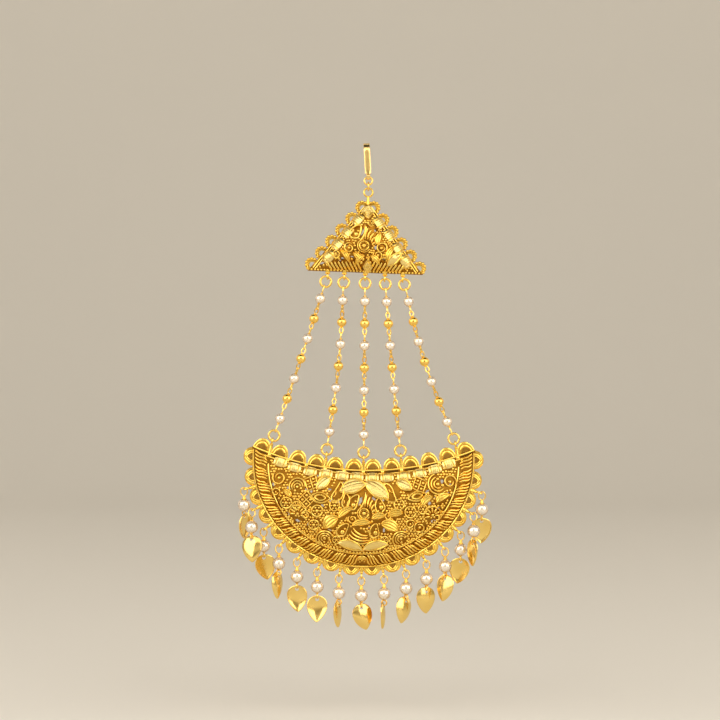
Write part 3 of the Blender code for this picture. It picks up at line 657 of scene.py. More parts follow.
def patch(work, put, spine, half, relief, across=8, steps=14, sink=0.5):
    """A raised patch along a spine.

    half gives its half width along the spine, and relief its height there, from one edge, -1, to the other.
    """
    rings = []
    for t in spread(steps + 1):
        x, y = spine(t)
        ahead = spine(t + 0.01)
        behind = spine(t - 0.01)
        dx, dy = ahead[0] - behind[0], ahead[1] - behind[1]
        size = math.hypot(dx, dy)
        nx, ny = -dy / size, dx / size
        w = max(half(t), 0.04)
        section = [put(x + nx * w * s, y + ny * w * s, relief(t, s)) for s in spread(across + 1, -1, 1)]
        section.append(put(x + nx * w, y + ny * w, -sink))
        section.append(put(x - nx * w, y - ny * w, -sink))
        rings.append(section)
    work.loft(rings)


def ridge(work, put, spine, width, height, steps=10, point=0.5):
    """A ridge along a spine with steep sides and a softly rounded crest, thinner towards its ends."""
    crown = 0.4 * width

    def half(t):
        return width / 2 * (1 - abs(2 * t - 1) ** 3 * point)

    def relief(t, s):
        return (height - crown * s * s) * (1 - 0.4 * abs(2 * t - 1) ** 4)

    patch(work, put, spine, half, relief, across=6, steps=steps)


def straight(x0, y0, x1, y1, bow=0.0):
    """A spine from one point to another, bowed to its left."""
    dx, dy = x1 - x0, y1 - y0
    return lambda t: (x0 + dx * t - dy * bow * 4 * t * (1 - t), y0 + dy * t + dx * bow * 4 * t * (1 - t))


def circle(radius, start, end, x=0.0, y=0.0, flat=1.0):
    """A spine round part of a circle, in degrees."""

    def spine(t):
        a = math.radians(start + (end - start) * t)
        return x + radius * math.cos(a), y + radius * flat * math.sin(a)

    return spine


def granule(work, put, x, y, radius, height=None, sides=8):
    """A small round bead with a softly rounded crest, its foot sunk in the wall."""
    height = radius if height is None else height
    foot = -0.4
    rings = []
    for share, down in ((1.0, None), (1.0, 0.55), (0.86, 0.33), (0.6, 0.13), (0.25, 0.02)):
        level = foot if down is None else height - down * radius
        reach = radius * share
        turns = round_angles(sides)
        rings.append([put(x + reach * math.cos(a), y + reach * math.sin(a), level) for a in turns])
    work.loft(rings)


def leaf_half(width, fullness=0.8):
    """The half width of a leaf that is pointed at both ends."""
    return lambda t: width / 2 * max(math.sin(math.pi * min(max(t, 0), 1)), 0) ** fullness


def rim_of(s, at, breadth):
    """1 where a rim runs across a leaf, and falling to 0 on both sides of it."""
    return math.exp(-(((abs(s) - at) / breadth) ** 2))


def outline(work, put, spine, half, width, height, steps=30):
    """A ridge all round the edge of a leaf, from the leaf's spine and half width."""

    def edge(t):
        side = 1 if t < 0.5 else -1
        along = min(max(2 * t if t < 0.5 else 2 - 2 * t, 0.0), 1.0)
        x, y = spine(along)
        ahead, behind = spine(along + 0.01), spine(along - 0.01)
        dx, dy = ahead[0] - behind[0], ahead[1] - behind[1]
        out = side * max(half(along), 0.03) / math.hypot(dx, dy)
        return x - dy * out, y + dx * out

    ridge(work, put, edge, width, height, steps, 0.0)


def mesh_leaf(work, put, length, width):
    """A leaf with a thin rim and a net inside, drawn coarser than the real one so that it shows."""
    net = 0.8
    across = 8 * round(width / net)
    along = 5 * round(length / net)
    half = leaf_half(width)

    def relief(t, s):
        line = math.cos(2 * math.pi * half(t) * s / net)
        weave = line * (0.65 + 0.35 * math.cos(2 * math.pi * length * t / net))
        return 0.6 + 0.4 * (1 - s * s) + 0.12 * rim_of(s, 0.9, 0.1) + 0.06 * weave * (abs(s) < 0.8)

    patch(work, put, straight(-length / 2, 0, length / 2, 0, 0.07), half, relief, across, along)


def ribbed_leaf(work, put, length, width):
    """A leaf with a few ribs along it."""
    ribs = 3 if width < 2.4 else 4

    def relief(t, s):
        swell = 0.5 + 0.35 * (1 - s * s)
        return swell + 0.22 * abs(math.sin(math.pi * ribs * (s + 1) / 2)) * (1 - 0.5 * abs(2 * t - 1) ** 4)

    spine = straight(-length / 2, 0, length / 2, 0, 0.12)
    patch(work, put, spine, leaf_half(width, 0.6), relief, ribs * 6, 14)


def ring_leaf(work, put, length, width):
    """A leaf of two rims, one inside the other, round a narrow hollow."""
    for share, height in ((0.94, 0.8), (0.52, 1.0)):
        spine = straight(-length / 2 * share, 0, length / 2 * share, 0)
        outline(work, put, spine, leaf_half(width * share, 0.8), 0.5, height)


def comma(work, put, length, width):
    """A hollow, bent like a comma, inside a thin raised rim."""

    def half(t):
        return width * 0.46 * max(math.sin(math.pi * min(max(t, 0), 1) ** 0.75), 0) ** 0.6

    outline(work, put, straight(-length / 2, 0, length / 2, 0, -0.18), half, 0.42, 0.95)
    ridge(work, put, straight(-length * 0.3, -width * 0.02, length * 0.05, width * 0.1, -0.2), 0.4, 0.5, 8)


def drop_leaf(work, put, length, width):
    """A drop-shaped rim with a bead in its round end."""

    def half(t):
        return width * 0.46 * max(math.sin(math.pi * min(max(t, 0), 1) ** 0.6), 0) ** 0.55

    outline(work, put, straight(-length / 2, 0, length / 2, 0, 0.1), half, 0.42, 0.9)
    granule(work, put, -length * 0.16, 0.0, width * 0.24, 0.9, 12)
    granule(work, put, length * 0.1, 0.0, width * 0.12, 0.6)


def rosette(work, put, length, width):
    """A bead in a wreath of smaller ones, inside a round rim."""
    radius = length / 2
    ridge(work, put, circle(radius * 0.88, 0, 352), radius * 0.26, 0.8, 24, 0.0)
    granule(work, put, 0, 0, radius * 0.28, 0.95, 10)
    petals = 6
    for k in range(petals):
        a = 2 * math.pi * k / petals
        granule(work, put, radius * 0.54 * math.cos(a), radius * 0.54 * math.sin(a), radius * 0.17, 0.7)


def lattice(work, put, length, width):
    """A lozenge of crossed bars with a bead in each opening."""
    bars = 3
    for k in range(bars):
        at = (k / (bars - 1) - 0.5) * length * 0.84
        ridge(work, put, straight(-length / 2, at, length / 2, at), 0.34, 0.75, 8)
        ridge(work, put, straight(at, -length / 2, at, length / 2), 0.34, 0.75, 8)
    for x in (-0.21, 0.21):
        for y in (-0.21, 0.21):
            granule(work, put, x * length, y * length, length * 0.1, 0.8)


def shell(work, put, length, width):
    """Three ribs nested like a cockle shell round a small bead."""
    foot = -width * 0.15
    for share in (1.0, 0.69, 0.4):
        ridge(work, put, circle(length / 2 * share, -20, 190, y=foot), 0.44, 0.6 + 0.35 * share, 18, 0.3)
    granule(work, put, 0, foot, length * 0.09, 0.7, 10)
    for side in (-1, 1):
        granule(work, put, side * length * 0.2, foot - length * 0.16, length * 0.08, 0.55, 8)


def stripes(work, put, length, width):
    """Four long ribs, bowed side by side, closer at one end."""
    for k in range(4):
        y = (k - 1.5) * width / 4
        spine = straight(-length / 2 + 0.25 * k, y * 1.2, length / 2 - 0.3 * k, y * 0.7, -0.16)
        ridge(work, put, spine, 0.56, 0.95, 14, 0.6)


def daisy(work, put, length, width):
    """Half a flower: petals in a fan."""
    petals = 7
    for k in range(petals):
        a = math.radians(-100 + 200 * k / (petals - 1))
        near, far = length * 0.17, length * 0.5
        spine = straight(near * math.cos(a), near * math.sin(a), far * math.cos(a), far * math.sin(a))
        ridge(work, put, spine, 0.5, 0.85, 7, 0.5)
    ridge(work, put, circle(length * 0.56, -105, 105), 0.4, 0.6, 20, 0.3)
    granule(work, put, 0, 0, length * 0.1, 0.8, 10)
    granule(work, put, -length * 0.16, length * 0.1, length * 0.07, 0.6)
    granule(work, put, -length * 0.16, -length * 0.1, length * 0.07, 0.6)


def curl(work, put, length, width):
    """A wire curl round a bead."""
    radius = length / 2

    def spine(t):
        a = math.radians(-60 + 400 * t)
        r = radius * (1.0 - 0.5 * t)
        return r * math.cos(a), r * math.sin(a)

    ridge(work, put, spine, 0.42, 0.8, 26, 0.4)
    granule(work, put, 0, 0, radius * 0.24, 0.7)


MOTIFS = {
    "ribbed_leaf": ribbed_leaf,
    "ring_leaf": ring_leaf,
    "comma": comma,
    "drop_leaf": drop_leaf,
    "rosette": rosette,
    "lattice": lattice,
    "shell": shell,
    "stripes": stripes,
    "daisy": daisy,
    "curl": curl,
}


# The boss's feathers, in millimetres from its middle: each one's two ends, and how far it bows.
FEATHERS = (
    (-1.55, 0.95, 0.25, 6.3, -0.14), (0.25, 1.75, 0.95, 5.3, 0.06), (1.0, 1.65, 1.85, 4.7, 0.08),
    (1.65, 1.3, 2.65, 3.8, 0.10), (2.1, 0.75, 3.15, 2.6, 0.12), (2.25, 0.1, 3.35, 1.1, 0.12),
)


def feathered_boss(work, put):
    """The middle of each plaque: a round boss with a fan of feathers that rises from it to the right."""
    ridge(work, put, circle(1.85, 95, 330), 0.36, 0.7, 30, 0.3)
    ridge(work, put, circle(1.3, 0, 352), 0.42, 0.85, 28, 0.0)
    granule(work, put, 0, 0, 0.56, 1.0, 14)
    beads = 10
    for k in range(beads):
        a = 2 * math.pi * k / beads
        granule(work, put, 0.86 * math.cos(a), 0.86 * math.sin(a), 0.14, 0.5, 6)
    for x0, y0, x1, y1, bow in FEATHERS:
        ridge(work, put, straight(x0, y0, x1, y1, bow), 0.6, 1.05, 16, 0.5)


def pip(work, put, length, width):
    """A satin block, swollen in the middle, with a rib at each end and soft ribs between."""

    def half(t):
        return width / 2 * (1 - 0.3 * abs(2 * t - 1) ** 3)

    def relief(t, s):
        swell = (1 - 0.42 * abs(2 * t - 1) ** 2.5) * (1 - 0.5 * s * s)
        grooves = sum(math.exp(-(((t - at) / 0.035) ** 2)) for at in (0.19, 0.81))
        fine = sum(math.exp(-(((t - at) / 0.025) ** 2)) for at in (0.42, 0.6))
        return swell - 0.3 * grooves - 0.06 * fine

    patch(work, put, straight(-length / 2, 0, length / 2, 0), half, relief, 10, 30)


def lozenge(work, put, length, width):
    """A satin lozenge with a smaller one raised inside it, line within line."""

    def half(t):
        return width / 2 * (1 - abs(2 * t - 1))

    def relief(t, s):
        away = abs(2 * t - 1) + abs(s) * (1 - abs(2 * t - 1))
        return 0.6 + 0.3 * (1 - away) + 0.2 * math.cos(2 * math.pi * away * 2)

    patch(work, put, straight(-length / 2, 0, length / 2, 0), half, relief, 24, 32)


# Plaques.


def inside(hole, u, v):
    """How far out of a hole's middle a point is: 1 on its edge. Also the point moved to that edge."""
    hu, hv, length, width, tilt = hole
    c, s = math.cos(tilt), math.sin(tilt)
    x = ((u - hu) * c + (v - hv) * s) / length
    y = (-(u - hu) * s + (v - hv) * c) / width
    far = max(math.hypot(x, y), 1e-6)
    x, y = x / far * length, y / far * width
    return far, (hu + x * c - y * s, hv + x * s + y * c)


def wall(work, dome, columns, holes, thickness=SHEET):
    """A domed wall, from columns of (u, v) that run down it, with holes cut through and edges closed."""
    across, down = len(columns), len(columns[0])
    places = [place for column in columns for place in column]
    kept = []
    for i in range(across - 1):
        for j in range(down - 1):
            corners = (i * down + j, i * down + j + 1, (i + 1) * down + j + 1, (i + 1) * down + j)
            u = sum(places[k][0] for k in corners) / 4
            v = sum(places[k][1] for k in corners) / 4
            if all(inside(hole, u, v)[0] > 1 for hole in holes):
                kept.append(corners)
    used = {k for corners in kept for k in corners}
    for k in used:
        for hole in holes:
            far, edge = inside(hole, *places[k])
            if far < 1:
                places[k] = edge
    first = len(work.points)
    count = len(places)
    work.points.extend(dome.at(u, v, 0.0) for u, v in places)
    work.points.extend(dome.at(u, v, -thickness) for u, v in places)
    sides = {}
    for corners in kept:
        work.faces.append(tuple(first + k for k in corners))
        work.faces.append(tuple(first + count + k for k in reversed(corners)))
        for a, b in zip(corners, corners[1:] + corners[:1]):
            sides[(a, b)] = (b, a) not in sides
            if (b, a) in sides:
                sides[(b, a)] = False
    for (a, b), edge in sides.items():
        if edge:
            work.faces.append((first + b, first + a, first + count + a, first + count + b))


def in_pixels(dome, holes):
    """Holes given in the photograph's pixels, as holes in the dome's own plane."""
    made = []
    for px, py, length, width, tilt in holes:
        u, v = dome.from_photo(px, py)
        made.append((u, v, length * MM_PER_PIXEL / 2, width * MM_PER_PIXEL / 2, math.radians(tilt)))
    return made


def add_motifs(work, satin, dome, motifs):
    """Lays the listed motifs on the dome. Returns the room that each takes, as holes are given."""
    room = []
    for kind, px, py, length, width, tilt in motifs:
        u, v = dome.from_photo(px, py, MOTIF_LIFT)
        length *= MM_PER_PIXEL * MOTIF_SCALE
        width *= MM_PER_PIXEL * MOTIF_SCALE
        put = dome.putter(u, v, tilt)
        if kind == "mesh_leaf":
            mesh_leaf(satin, put, length, width)
            spine = straight(-length / 2, 0, length / 2, 0, 0.07)
            outline(work, put, spine, leaf_half(width * 0.94), 0.42, 1.05, 36)
        else:
            MOTIFS[kind](work, put, length, width)
        room.append((u, v, length / 2, width / 2, math.radians(tilt)))
    return room


def add_boss(work, dome, pixel):
    """The feathered boss. Returns the room that it and its feathers take, as holes are given."""
    u, v = dome.from_photo(*pixel, MOTIF_LIFT)
    feathered_boss(work, dome.putter(u, v))
    rise_u, rise_v = FEATHERS_RISE
    return [(u, v, *BOSS_ROOM, 0.0), (u + rise_u, v + rise_v, *FEATHERS_ROOM, 0.0)]


def fill_with_grains(work, dome, taken, allowed, low, high, pitch):
    """Small beads, side by side, wherever nothing else lies."""
    rows = int((high[1] - low[1]) / (pitch * 0.86))
    for j in range(rows):
        for i in range(int((high[0] - low[0]) / pitch)):
            u = low[0] + (i + 0.5 * (j % 2)) * pitch + DRAW.uniform(-0.1, 0.1)
            v = low[1] + j * pitch * 0.86 + DRAW.uniform(-0.1, 0.1)
            radius = pitch * DRAW.uniform(0.36, 0.48)
            if not allowed(u, v):
                continue
            if any(abs(u - t[0]) < 4 and abs(v - t[1]) < 4 and inside(t, u, v)[0] < 1.08 for t in taken):
                continue
            granule(work, dome.putter(u, v), 0, 0, radius, DRAW.uniform(0.3, 0.6))


def half_round(work, matrix, half, height, profile, steps=18, thickness=0.3, point=0.0):
    """Half a disc on a rim, from a profile of (share of its radius, height in front).

    point draws its inner lines up to an arch.
    """
    rings = []
    for a in spread(steps + 1, 0, math.pi):
        c, s = math.cos(a), math.sin(a)
        section = []
        for share, up in profile:
            section.append((half * share * c, height * share * s * (1 + point * (1 - share) * s**4), -up))
        for share in (profile[-1][0], profile[0][0]):
            section.append((half * share * c, height * share * s, thickness))
        rings.append([matrix @ Vector(place) for place in section])
    work.loft(rings)


def lug(work, matrix, reach):
    """An upright wire eye on the rim, on a short beaded foot. The matrix is at the eye's middle."""
    turn = Matrix.Rotation(math.pi / 2, 4, "Y")
    ring(work, matrix @ turn, LUG_HOLE + LUG_WEB / 2, LUG_WEB / 2 * 1.25, 1.05, 24, 8)
    foot = [Vector((0, y, 0)) for y in (-reach - 0.5, -reach + 0.3, -LUG_HOLE - LUG_WEB * 0.6)]
    along_rim = matrix.to_3x3() @ Vector((1, 0, 0))
    wire(work, [matrix @ point for point in foot], [0.75, 0.62, 0.42], along_rim, 10)
    for side in (-1, 1):
        ball(work, matrix @ Vector((side * 0.42, -reach + 0.5, -0.3)), 0.32, sides=10, rows=6)
    ball(work, matrix @ Vector((0, -LUG_HOLE - LUG_WEB, -0.1)), 0.46, sides=12, rows=7)


# Sections of the arches, scallops and loops, from outside in: share of the radius, and height in front.
ARCH_PROFILE = (
    (1.0, 0.0), (0.99, 0.34), (0.92, 0.45), (0.85, 0.36), (0.82, 0.0), (0.78, 0.0),
    (0.74, 0.36), (0.66, 0.50), (0.59, 0.34), (0.55, -0.15), (0.50, -0.18),
)
ARCH_PLATE_PROFILE = ((0.56, -0.16), (0.30, -0.20), (0.05, -0.16))
SCALLOP_PROFILE = (
    (1.0, -0.05), (0.985, 0.18), (0.95, 0.20), (0.90, 0.02), (0.78, 0.10),
    (0.70, 0.12), (0.68, 0.40), (0.62, 0.50), (0.56, 0.40), (0.54, 0.0),
    (0.51, 0.0), (0.49, 0.36), (0.43, 0.46), (0.37, 0.34), (0.34, -0.1),
)
SCALLOP_PLATE_PROFILE = ((0.40, -0.10), (0.2, -0.16), (0.05, -0.10))
LOOP_PROFILE = (
    (1.0, 0.0), (0.96, 0.2), (0.82, 0.26), (0.66, 0.10), (0.60, 0.34), (0.48, 0.38), (0.40, 0.05),
)


def crescent_lines():
    """The top edge, left to right, and the lower edge from the left corner round to the right one."""
    fine = 120
    top, lower = [], []
    for share in spread(fine + 1, -1, 1):
        x = CRESCENT_HALF_WIDTH * share
        top.append(Vector((x, 0, CRESCENT_TOP_RADIUS - math.sqrt(CRESCENT_TOP_RADIUS**2 - x**2))))
        a = share * math.pi / 2
        foot = CRESCENT_MIDDLE - CRESCENT_HALF_HEIGHT * math.cos(a)
        lower.append(Vector((CRESCENT_HALF_WIDTH * math.sin(a), 0, foot)))
    return top, [top[0]] + lower + [top[-1]]


def inset(line, side, distance, depth):
    """(u, v) at a distance along an edge and a depth in from it: to its right if side is 1, left if -1."""
    at, along = walk(line, distance)
    return at.x + side * along.z * depth, at.z - side * along.x * depth


def edge_wire(work, dome, places, radius, lift):
    """A wire that lies on the dome along a line of (u, v)."""
    points = [dome.at(u, v, lift) for u, v in places]
    wire(work, points, radius, Vector((0, -1, 0)), 8)


def make_crescent(matrix):
    """The crescent plaque's pieces. Returns the places of its string lugs and of its drop lugs."""
    dome = Dome(matrix, crescent_height)
    top, lower = crescent_lines()
    holes = in_pixels(dome, CRESCENT_HOLES) + arch_slots(top)
    add_crescent_wall(dome, top, lower, holes)
    room = add_crescent_relief(dome)
    add_crescent_band(dome, top, lower)

    def in_field(u, v):
        clear_of_top = below_top_edge(u, v) > FIELD_TOP_MARGIN
        return clear_of_top and in_from_ellipse(u, v) * CRESCENT_HALF_WIDTH > FIELD_LOWER_MARGIN

    grains = Work()
    fill_with_grains(grains, dome, room + holes, in_field, (-30, -30), (30, 6), CRESCENT_GRAIN_PITCH)
    add_piece("crescent_grains", grains, CAST_GOLD, "gold_plate", "pendant", "crescent_plaque")
    return add_crescent_rim(matrix, dome, top, lower)


def arch_slots(top):
    """A slot under each arch, as a hole through the wall."""
    slots = []
    for i in range(ARCHES):
        middle = length_of(top) / ARCHES * (i + 0.5)
        u, v = inset(top, 1, middle, SLOT_DEPTH)
        along = walk(top, middle)[1]
        slots.append((u, v, SLOT_HALF_LENGTH, SLOT_HALF_HEIGHT, math.atan2(along.z, along.x)))
    return slots


def add_crescent_wall(dome, top, lower, holes):
    """The domed wall, in columns that run down from the top edge, with closer rows beside the slots."""
    top_length, lower_length = length_of(top), length_of(lower)
    columns = []
    for share in spread(WALL_COLUMNS):
        head = walk(top, share * top_length)[0]
        foot = walk(lower, WALL_CORNER + share * (lower_length - 2 * WALL_CORNER))[0]
        near = [head + (foot - head).normalized() * depth for depth in ROWS_AT_SLOTS]
        places = near + [near[-1].lerp(foot, t) for t in spread(WALL_ROWS)[1:]]
        columns.append([(place.x, place.z) for place in places])
    work = Work()
    wall(work, dome, columns, holes)
    # The wall takes the recess gold, whose dark amber is painted shade.
    add_piece("crescent_wall", work, SHADED_RECESS_GOLD, "gold_plate", "pendant", "crescent_plaque")


def add_crescent_relief(dome):
    """The motifs, the boss and the satin blocks. Returns the room that they take."""
    relief, satin = Work(), Work()
    room = add_motifs(relief, satin, dome, CRESCENT_MOTIFS)
    room += add_boss(relief, dome, CRESCENT_BOSS)
    add_piece("crescent_relief", relief, CAST_GOLD, "gold_plate", "pendant", "crescent_plaque")
    for px, py in CRESCENT_PIPS:
        u, v = dome.from_photo(px, py, MOTIF_LIFT)
        tilt = math.degrees(math.asin(u / CRESCENT_TOP_RADIUS))
        pip(satin, dome.putter(u, v, tilt), *CRESCENT_PIP)
        room.append((u, v, *CRESCENT_PIP_ROOM, math.radians(tilt)))
    add_piece("crescent_satin_work", satin, SATIN_GOLD, "gold_plate", "pendant", "crescent_plaque")
    return room


def add_crescent_band(dome, top, lower):
    """The ribbed band along the lower edge, and the wires and small bridges along both edges."""
    top_length, lower_length = length_of(top), length_of(lower)
    below_top = functools.partial(inset, top, 1)
    above_lower = functools.partial(inset, lower, -1)
    band = Work()
    add_rib_bundles(band, dome, above_lower, lower_length)
    for place, length, steps, wires in (
        (above_lower, lower_length, 140, LOWER_WIRES),
        (below_top, top_length, 90, UPPER_WIRES),
    ):
        for depth, radius, lift in wires:
            short = depth + 0.4
            line = [place(d, depth) for d in spread(steps, short, length - depth - 0.4)]
            edge_wire(band, dome, line, radius, lift)
    for i in range(1, ARCHES):
        middle = top_length / ARCHES * i
        ridge(band, dome.at, straight(*below_top(middle, 0.0), *below_top(middle, 1.0)), 1.3, 0.5, 4, 0.0)
    for d in spread(BAND_GRAINS, lower_length * 0.2, lower_length * 0.8):
        u, v = above_lower(d, BAND_GRAIN_DEPTH)
        granule(band, dome.putter(u, v), 0, 0, 0.4, 0.7)
    add_piece("crescent_band", band, CAST_GOLD, "gold_plate", "pendant", "crescent_plaque")


def add_crescent_rim(matrix, dome, top, lower):
    """The arches, the scallops, the plates behind them and the lugs. Returns the lugs' places."""
    rim, plates = Work(), Work()
    top_length = length_of(top)
    arch_pitch, scallop_pitch = top_length / ARCHES, length_of(lower) / SCALLOPS
    for i in range(ARCHES):
        at, along = walk(top, arch_pitch * (i + 0.5))
        foot = matrix @ rim_frame(at, Vector((-along.z, 0, along.x)))
        half = (arch_pitch - ARCH_GAP) / 2
        half_round(rim, foot, half, ARCH_HEIGHT, ARCH_PROFILE, 22)
        half_round(plates, foot, half, ARCH_HEIGHT, ARCH_PLATE_PROFILE, 16)
    for i in range(SCALLOPS):
        at, along = walk(lower, scallop_pitch * (i + 0.5))
        foot = matrix @ rim_frame(at, Vector((along.z, 0, -along.x)))
        half = (scallop_pitch - SCALLOP_GAP) / 2
        half_round(rim, foot, half, SCALLOP_HEIGHT, SCALLOP_PROFILE, 22, point=0.7)
        half_round(plates, foot, half, SCALLOP_HEIGHT, SCALLOP_PLATE_PROFILE, 16, point=0.7)

    def ledge(t):
        return inset(top, 1, top_length * (0.01 + 0.98 * t), 0.5)

    # The ledge lies 1 mm behind the dome: a sheet in the plate's painted shade, put behind the slots so
    # that they show dark.
    patch(plates, dome.at, ledge, lambda t: 0.45, lambda t, s: -1.0, across=2, steps=60, sink=1.25)
    add_piece("crescent_shaded_plates", plates, SHADED_PLATE_GOLD, "gold_plate", "pendant", "crescent_plaque")
    string_lugs = []
    for row in STRINGS:
        at, along = walk(top, top_length / 2 + row["rim"] * arch_pitch)
        outward = Vector((-along.z, 0, along.x + 1)).normalized()
        foot = rim_frame(at + outward * STRING_LUG_REACH, outward)
        lug(rim, matrix @ foot, STRING_LUG_REACH)
        string_lugs.append((matrix @ foot).translation)
    drop_lugs = []
    first_gap = (SCALLOPS - len(DROPS) + 1) // 2
    for i in range(len(DROPS)):
        at, along = walk(lower, scallop_pitch * (i + first_gap))
        outward = Vector((along.z, 0, -along.x))
        foot = rim_frame(at + outward * DROP_LUG_REACH, outward)
        lug(rim, matrix @ foot, DROP_LUG_REACH)
        drop_lugs.append(matrix @ (foot.translation + outward * (LUG_HOLE + LUG_WEB / 2)))
    add_piece("crescent_rim", rim, CAST_GOLD, "gold_plate", "pendant", "crescent_plaque")
    return string_lugs, drop_lugs


def add_rib_bundles(work, dome, above_lower, lower_length):
    """Bundles of four slanting ribs along the lower edge, mirrored about its middle."""
    bundles, ribs = RIB_BUNDLES, RIBS_IN_BUNDLE
    first = 1.9
    pitch = (lower_length / 2 - first - 0.6) / bundles
    for side in (-1, 1):
        for bundle in range(bundles):
            for rib in range(ribs):
                start = first - 0.9 + pitch * (bundle + 0.95 * rib / ribs)
                middle = 1 - abs(2 * rib / (ribs - 1) - 1)
                near, far = 1.0 - 0.15 * middle, 4.1 + 0.5 * middle

                def spine(t, start=start, side=side, near=near, far=far, lag=0.16 * (rib - 1.5)):
                    d = start + (2.0 - lag) * t + 0.2 * math.sin(2 * math.pi * t)
                    return above_lower(d if side < 0 else lower_length - d, near + (far - near) * t)

                while below_top_edge(*spine(1.0)) < 1.0 and far > near + 0.6:
                    far -= 0.2
                    spine = functools.partial(spine, far=far)
                ridge(work, dome.at, spine, RIB_WIDTH, 0.85 + 0.2 * middle, 9, 0.5)


def leaning(put, lean):
    """A put function whose raised points lean: lean is the fall in height for each millimetre along x."""

    def lifted(x, y, h):
        return put(x, y, h + abs(lean) - lean * x if h > 0 else h)

    return lifted


def make_triangle(matrix):
    """The triangular plaque's pieces. Returns the places of its five lugs."""
    dome = Dome(matrix, triangle_height)
    apex = Vector((0, 0, -APEX_RING_STAND))
    base = apex.z - TRIANGLE_HEIGHT
    corners = [Vector((side * TRIANGLE_HALF_BASE, 0, base)) for side in (-1, 1)]
    columns = []
    for share in spread(90):
        foot = corners[0].lerp(corners[1], share)
        columns.append([(apex.lerp(foot, t).x, apex.lerp(foot, t).z) for t in spread(56)])
    holes = in_pixels(dome, TRIANGLE_HOLES)
    work = Work()
    wall(work, dome, columns, holes)
    # The wall takes the recess gold, whose dark amber is painted shade.
    add_piece("triangle_wall", work, SHADED_RECESS_GOLD, "gold_plate", "pendant", "triangle_plaque")

    relief, pips = Work(), Work()
    room = add_motifs(relief, pips, dome, TRIANGLE_MOTIFS)
    room += add_boss(relief, dome, TRIANGLE_BOSS)
    slant = (corners[0] - apex).normalized()
    for side in (-1, 1):
        for x, z, size in ((1.3, 3.2, 0.42), (0.75, 4.0, 0.36), (2.1, 4.0, 0.4)):
            granule(relief, dome.at, side * x, base + z, size, 0.9, 10)
        for k in range(BASE_RIBS):
            x = side * (BASE_RIB_FIRST + BASE_RIB_PITCH * k)
            spine = straight(x, base + 0.7, x + side * 1.7, base + 3.4 - 0.07 * k)
            ridge(relief, dome.at, spine, RIB_WIDTH, 0.95, 9, 0.4)
        for depth in (0.75, 1.35):
            inward = Vector((-side * abs(slant.z), 0, -abs(slant.x))).normalized()
            start = apex + Vector((side * 1.0, 0, -1.3)) + inward * depth * 0.2
            end = corners[(side + 1) // 2] + Vector((-side * 1.6, 0, 0.9))
            line = [start.lerp(end, t) + inward * (depth - 0.75) for t in spread(40)]
            edge_wire(relief, dome, [(p.x, p.z) for p in line], 0.2, 0.2)
    add_piece("triangle_relief", relief, CAST_GOLD, "gold_plate", "pendant", "triangle_plaque")

    for px, py, tilt in TRIANGLE_PIPS:
        u, v = dome.from_photo(px, py, MOTIF_LIFT)
        pip(pips, dome.putter(u, v, tilt), *TRIANGLE_PIP)
        room.append((u, v, *TRIANGLE_PIP_ROOM, math.radians(tilt)))
    for px, py, length, width, lean in (TRIANGLE_LOZENGE, TRIANGLE_CROWN):
        u, v = dome.from_photo(px, py, MOTIF_LIFT)
        put = leaning(dome.putter(u, v, 90), lean)
        lozenge(pips, put, length * MM_PER_PIXEL, width * MM_PER_PIXEL)
        room.append((u, v, width * MM_PER_PIXEL / 2, length * MM_PER_PIXEL / 2, 0.0))
    add_piece("triangle_satin_work", pips, SATIN_GOLD, "gold_plate", "pendant", "triangle_plaque")

    def in_field(u, v):
        z = v + APEX_RING_STAND
        over_ribs = 3.6 if abs(u) < 10.6 else 1.2
        return from_slanted_side(u, z) > 1.2 and TRIANGLE_HEIGHT + z > over_ribs

    grains = Work()
    fill_with_grains(grains, dome, room + holes, in_field, (-15, -24), (15, -3), TRIANGLE_GRAIN_PITCH)
    for x in spread(34, -TRIANGLE_HALF_BASE + 1.2, TRIANGLE_HALF_BASE - 1.2):
        granule(grains, dome.at, x, base + 0.42, 0.34, 0.5)
    add_piece("triangle_grains", grains, CAST_GOLD, "gold_plate", "pendant", "triangle_plaque")

    rim = Work()
    for side, corner in zip((-1, 1), corners):
        edge = apex - corner
        outward = Vector((side * abs(edge.z), 0, abs(edge.x)))
        pitch = edge.length / TRIANGLE_LOOPS
        for i in range(TRIANGLE_LOOPS):
            foot = matrix @ rim_frame(corner + edge * (i + 0.5) / TRIANGLE_LOOPS, outward)
            half = (pitch - ARCH_GAP) / 2
            half_round(rim, foot, half, TRIANGLE_LOOP_HEIGHT, LOOP_PROFILE, 18)
            for a in spread(LOOP_BEADS, 0.25, math.pi - 0.25):
                x, y = half * 0.88 * math.cos(a), TRIANGLE_LOOP_HEIGHT * 0.88 * math.sin(a)
                ball(rim, foot @ Vector((x, y, -0.32)), 0.42, sides=10, rows=6)
    ring(rim, matrix @ FACING, APEX_RING_RADIUS, JUMP_WIRE / 2)
    stem = [Vector((0, 0, z)) for z in (-APEX_RING_RADIUS + 0.1, -2.2, apex.z - 0.6)]
    wire(rim, [matrix @ p for p in stem], [0.3, 0.42, 0.55], Vector((0, 1, 0)), 10)
    lugs = []
    for row in STRINGS:
        place = Vector((row["base"] * TRIANGLE_HALF_BASE, 0, base - TRIANGLE_LUG_REACH))
        foot = rim_frame(place, Vector((0, 0, -1)))
        lug(rim, matrix @ foot, TRIANGLE_LUG_REACH)
        lugs.append((matrix @ foot).translation)
    add_piece("triangle_rim", rim, CAST_GOLD, "gold_plate", "pendant", "triangle_plaque")
    return lugs


# Hook, rings, strings and drops.


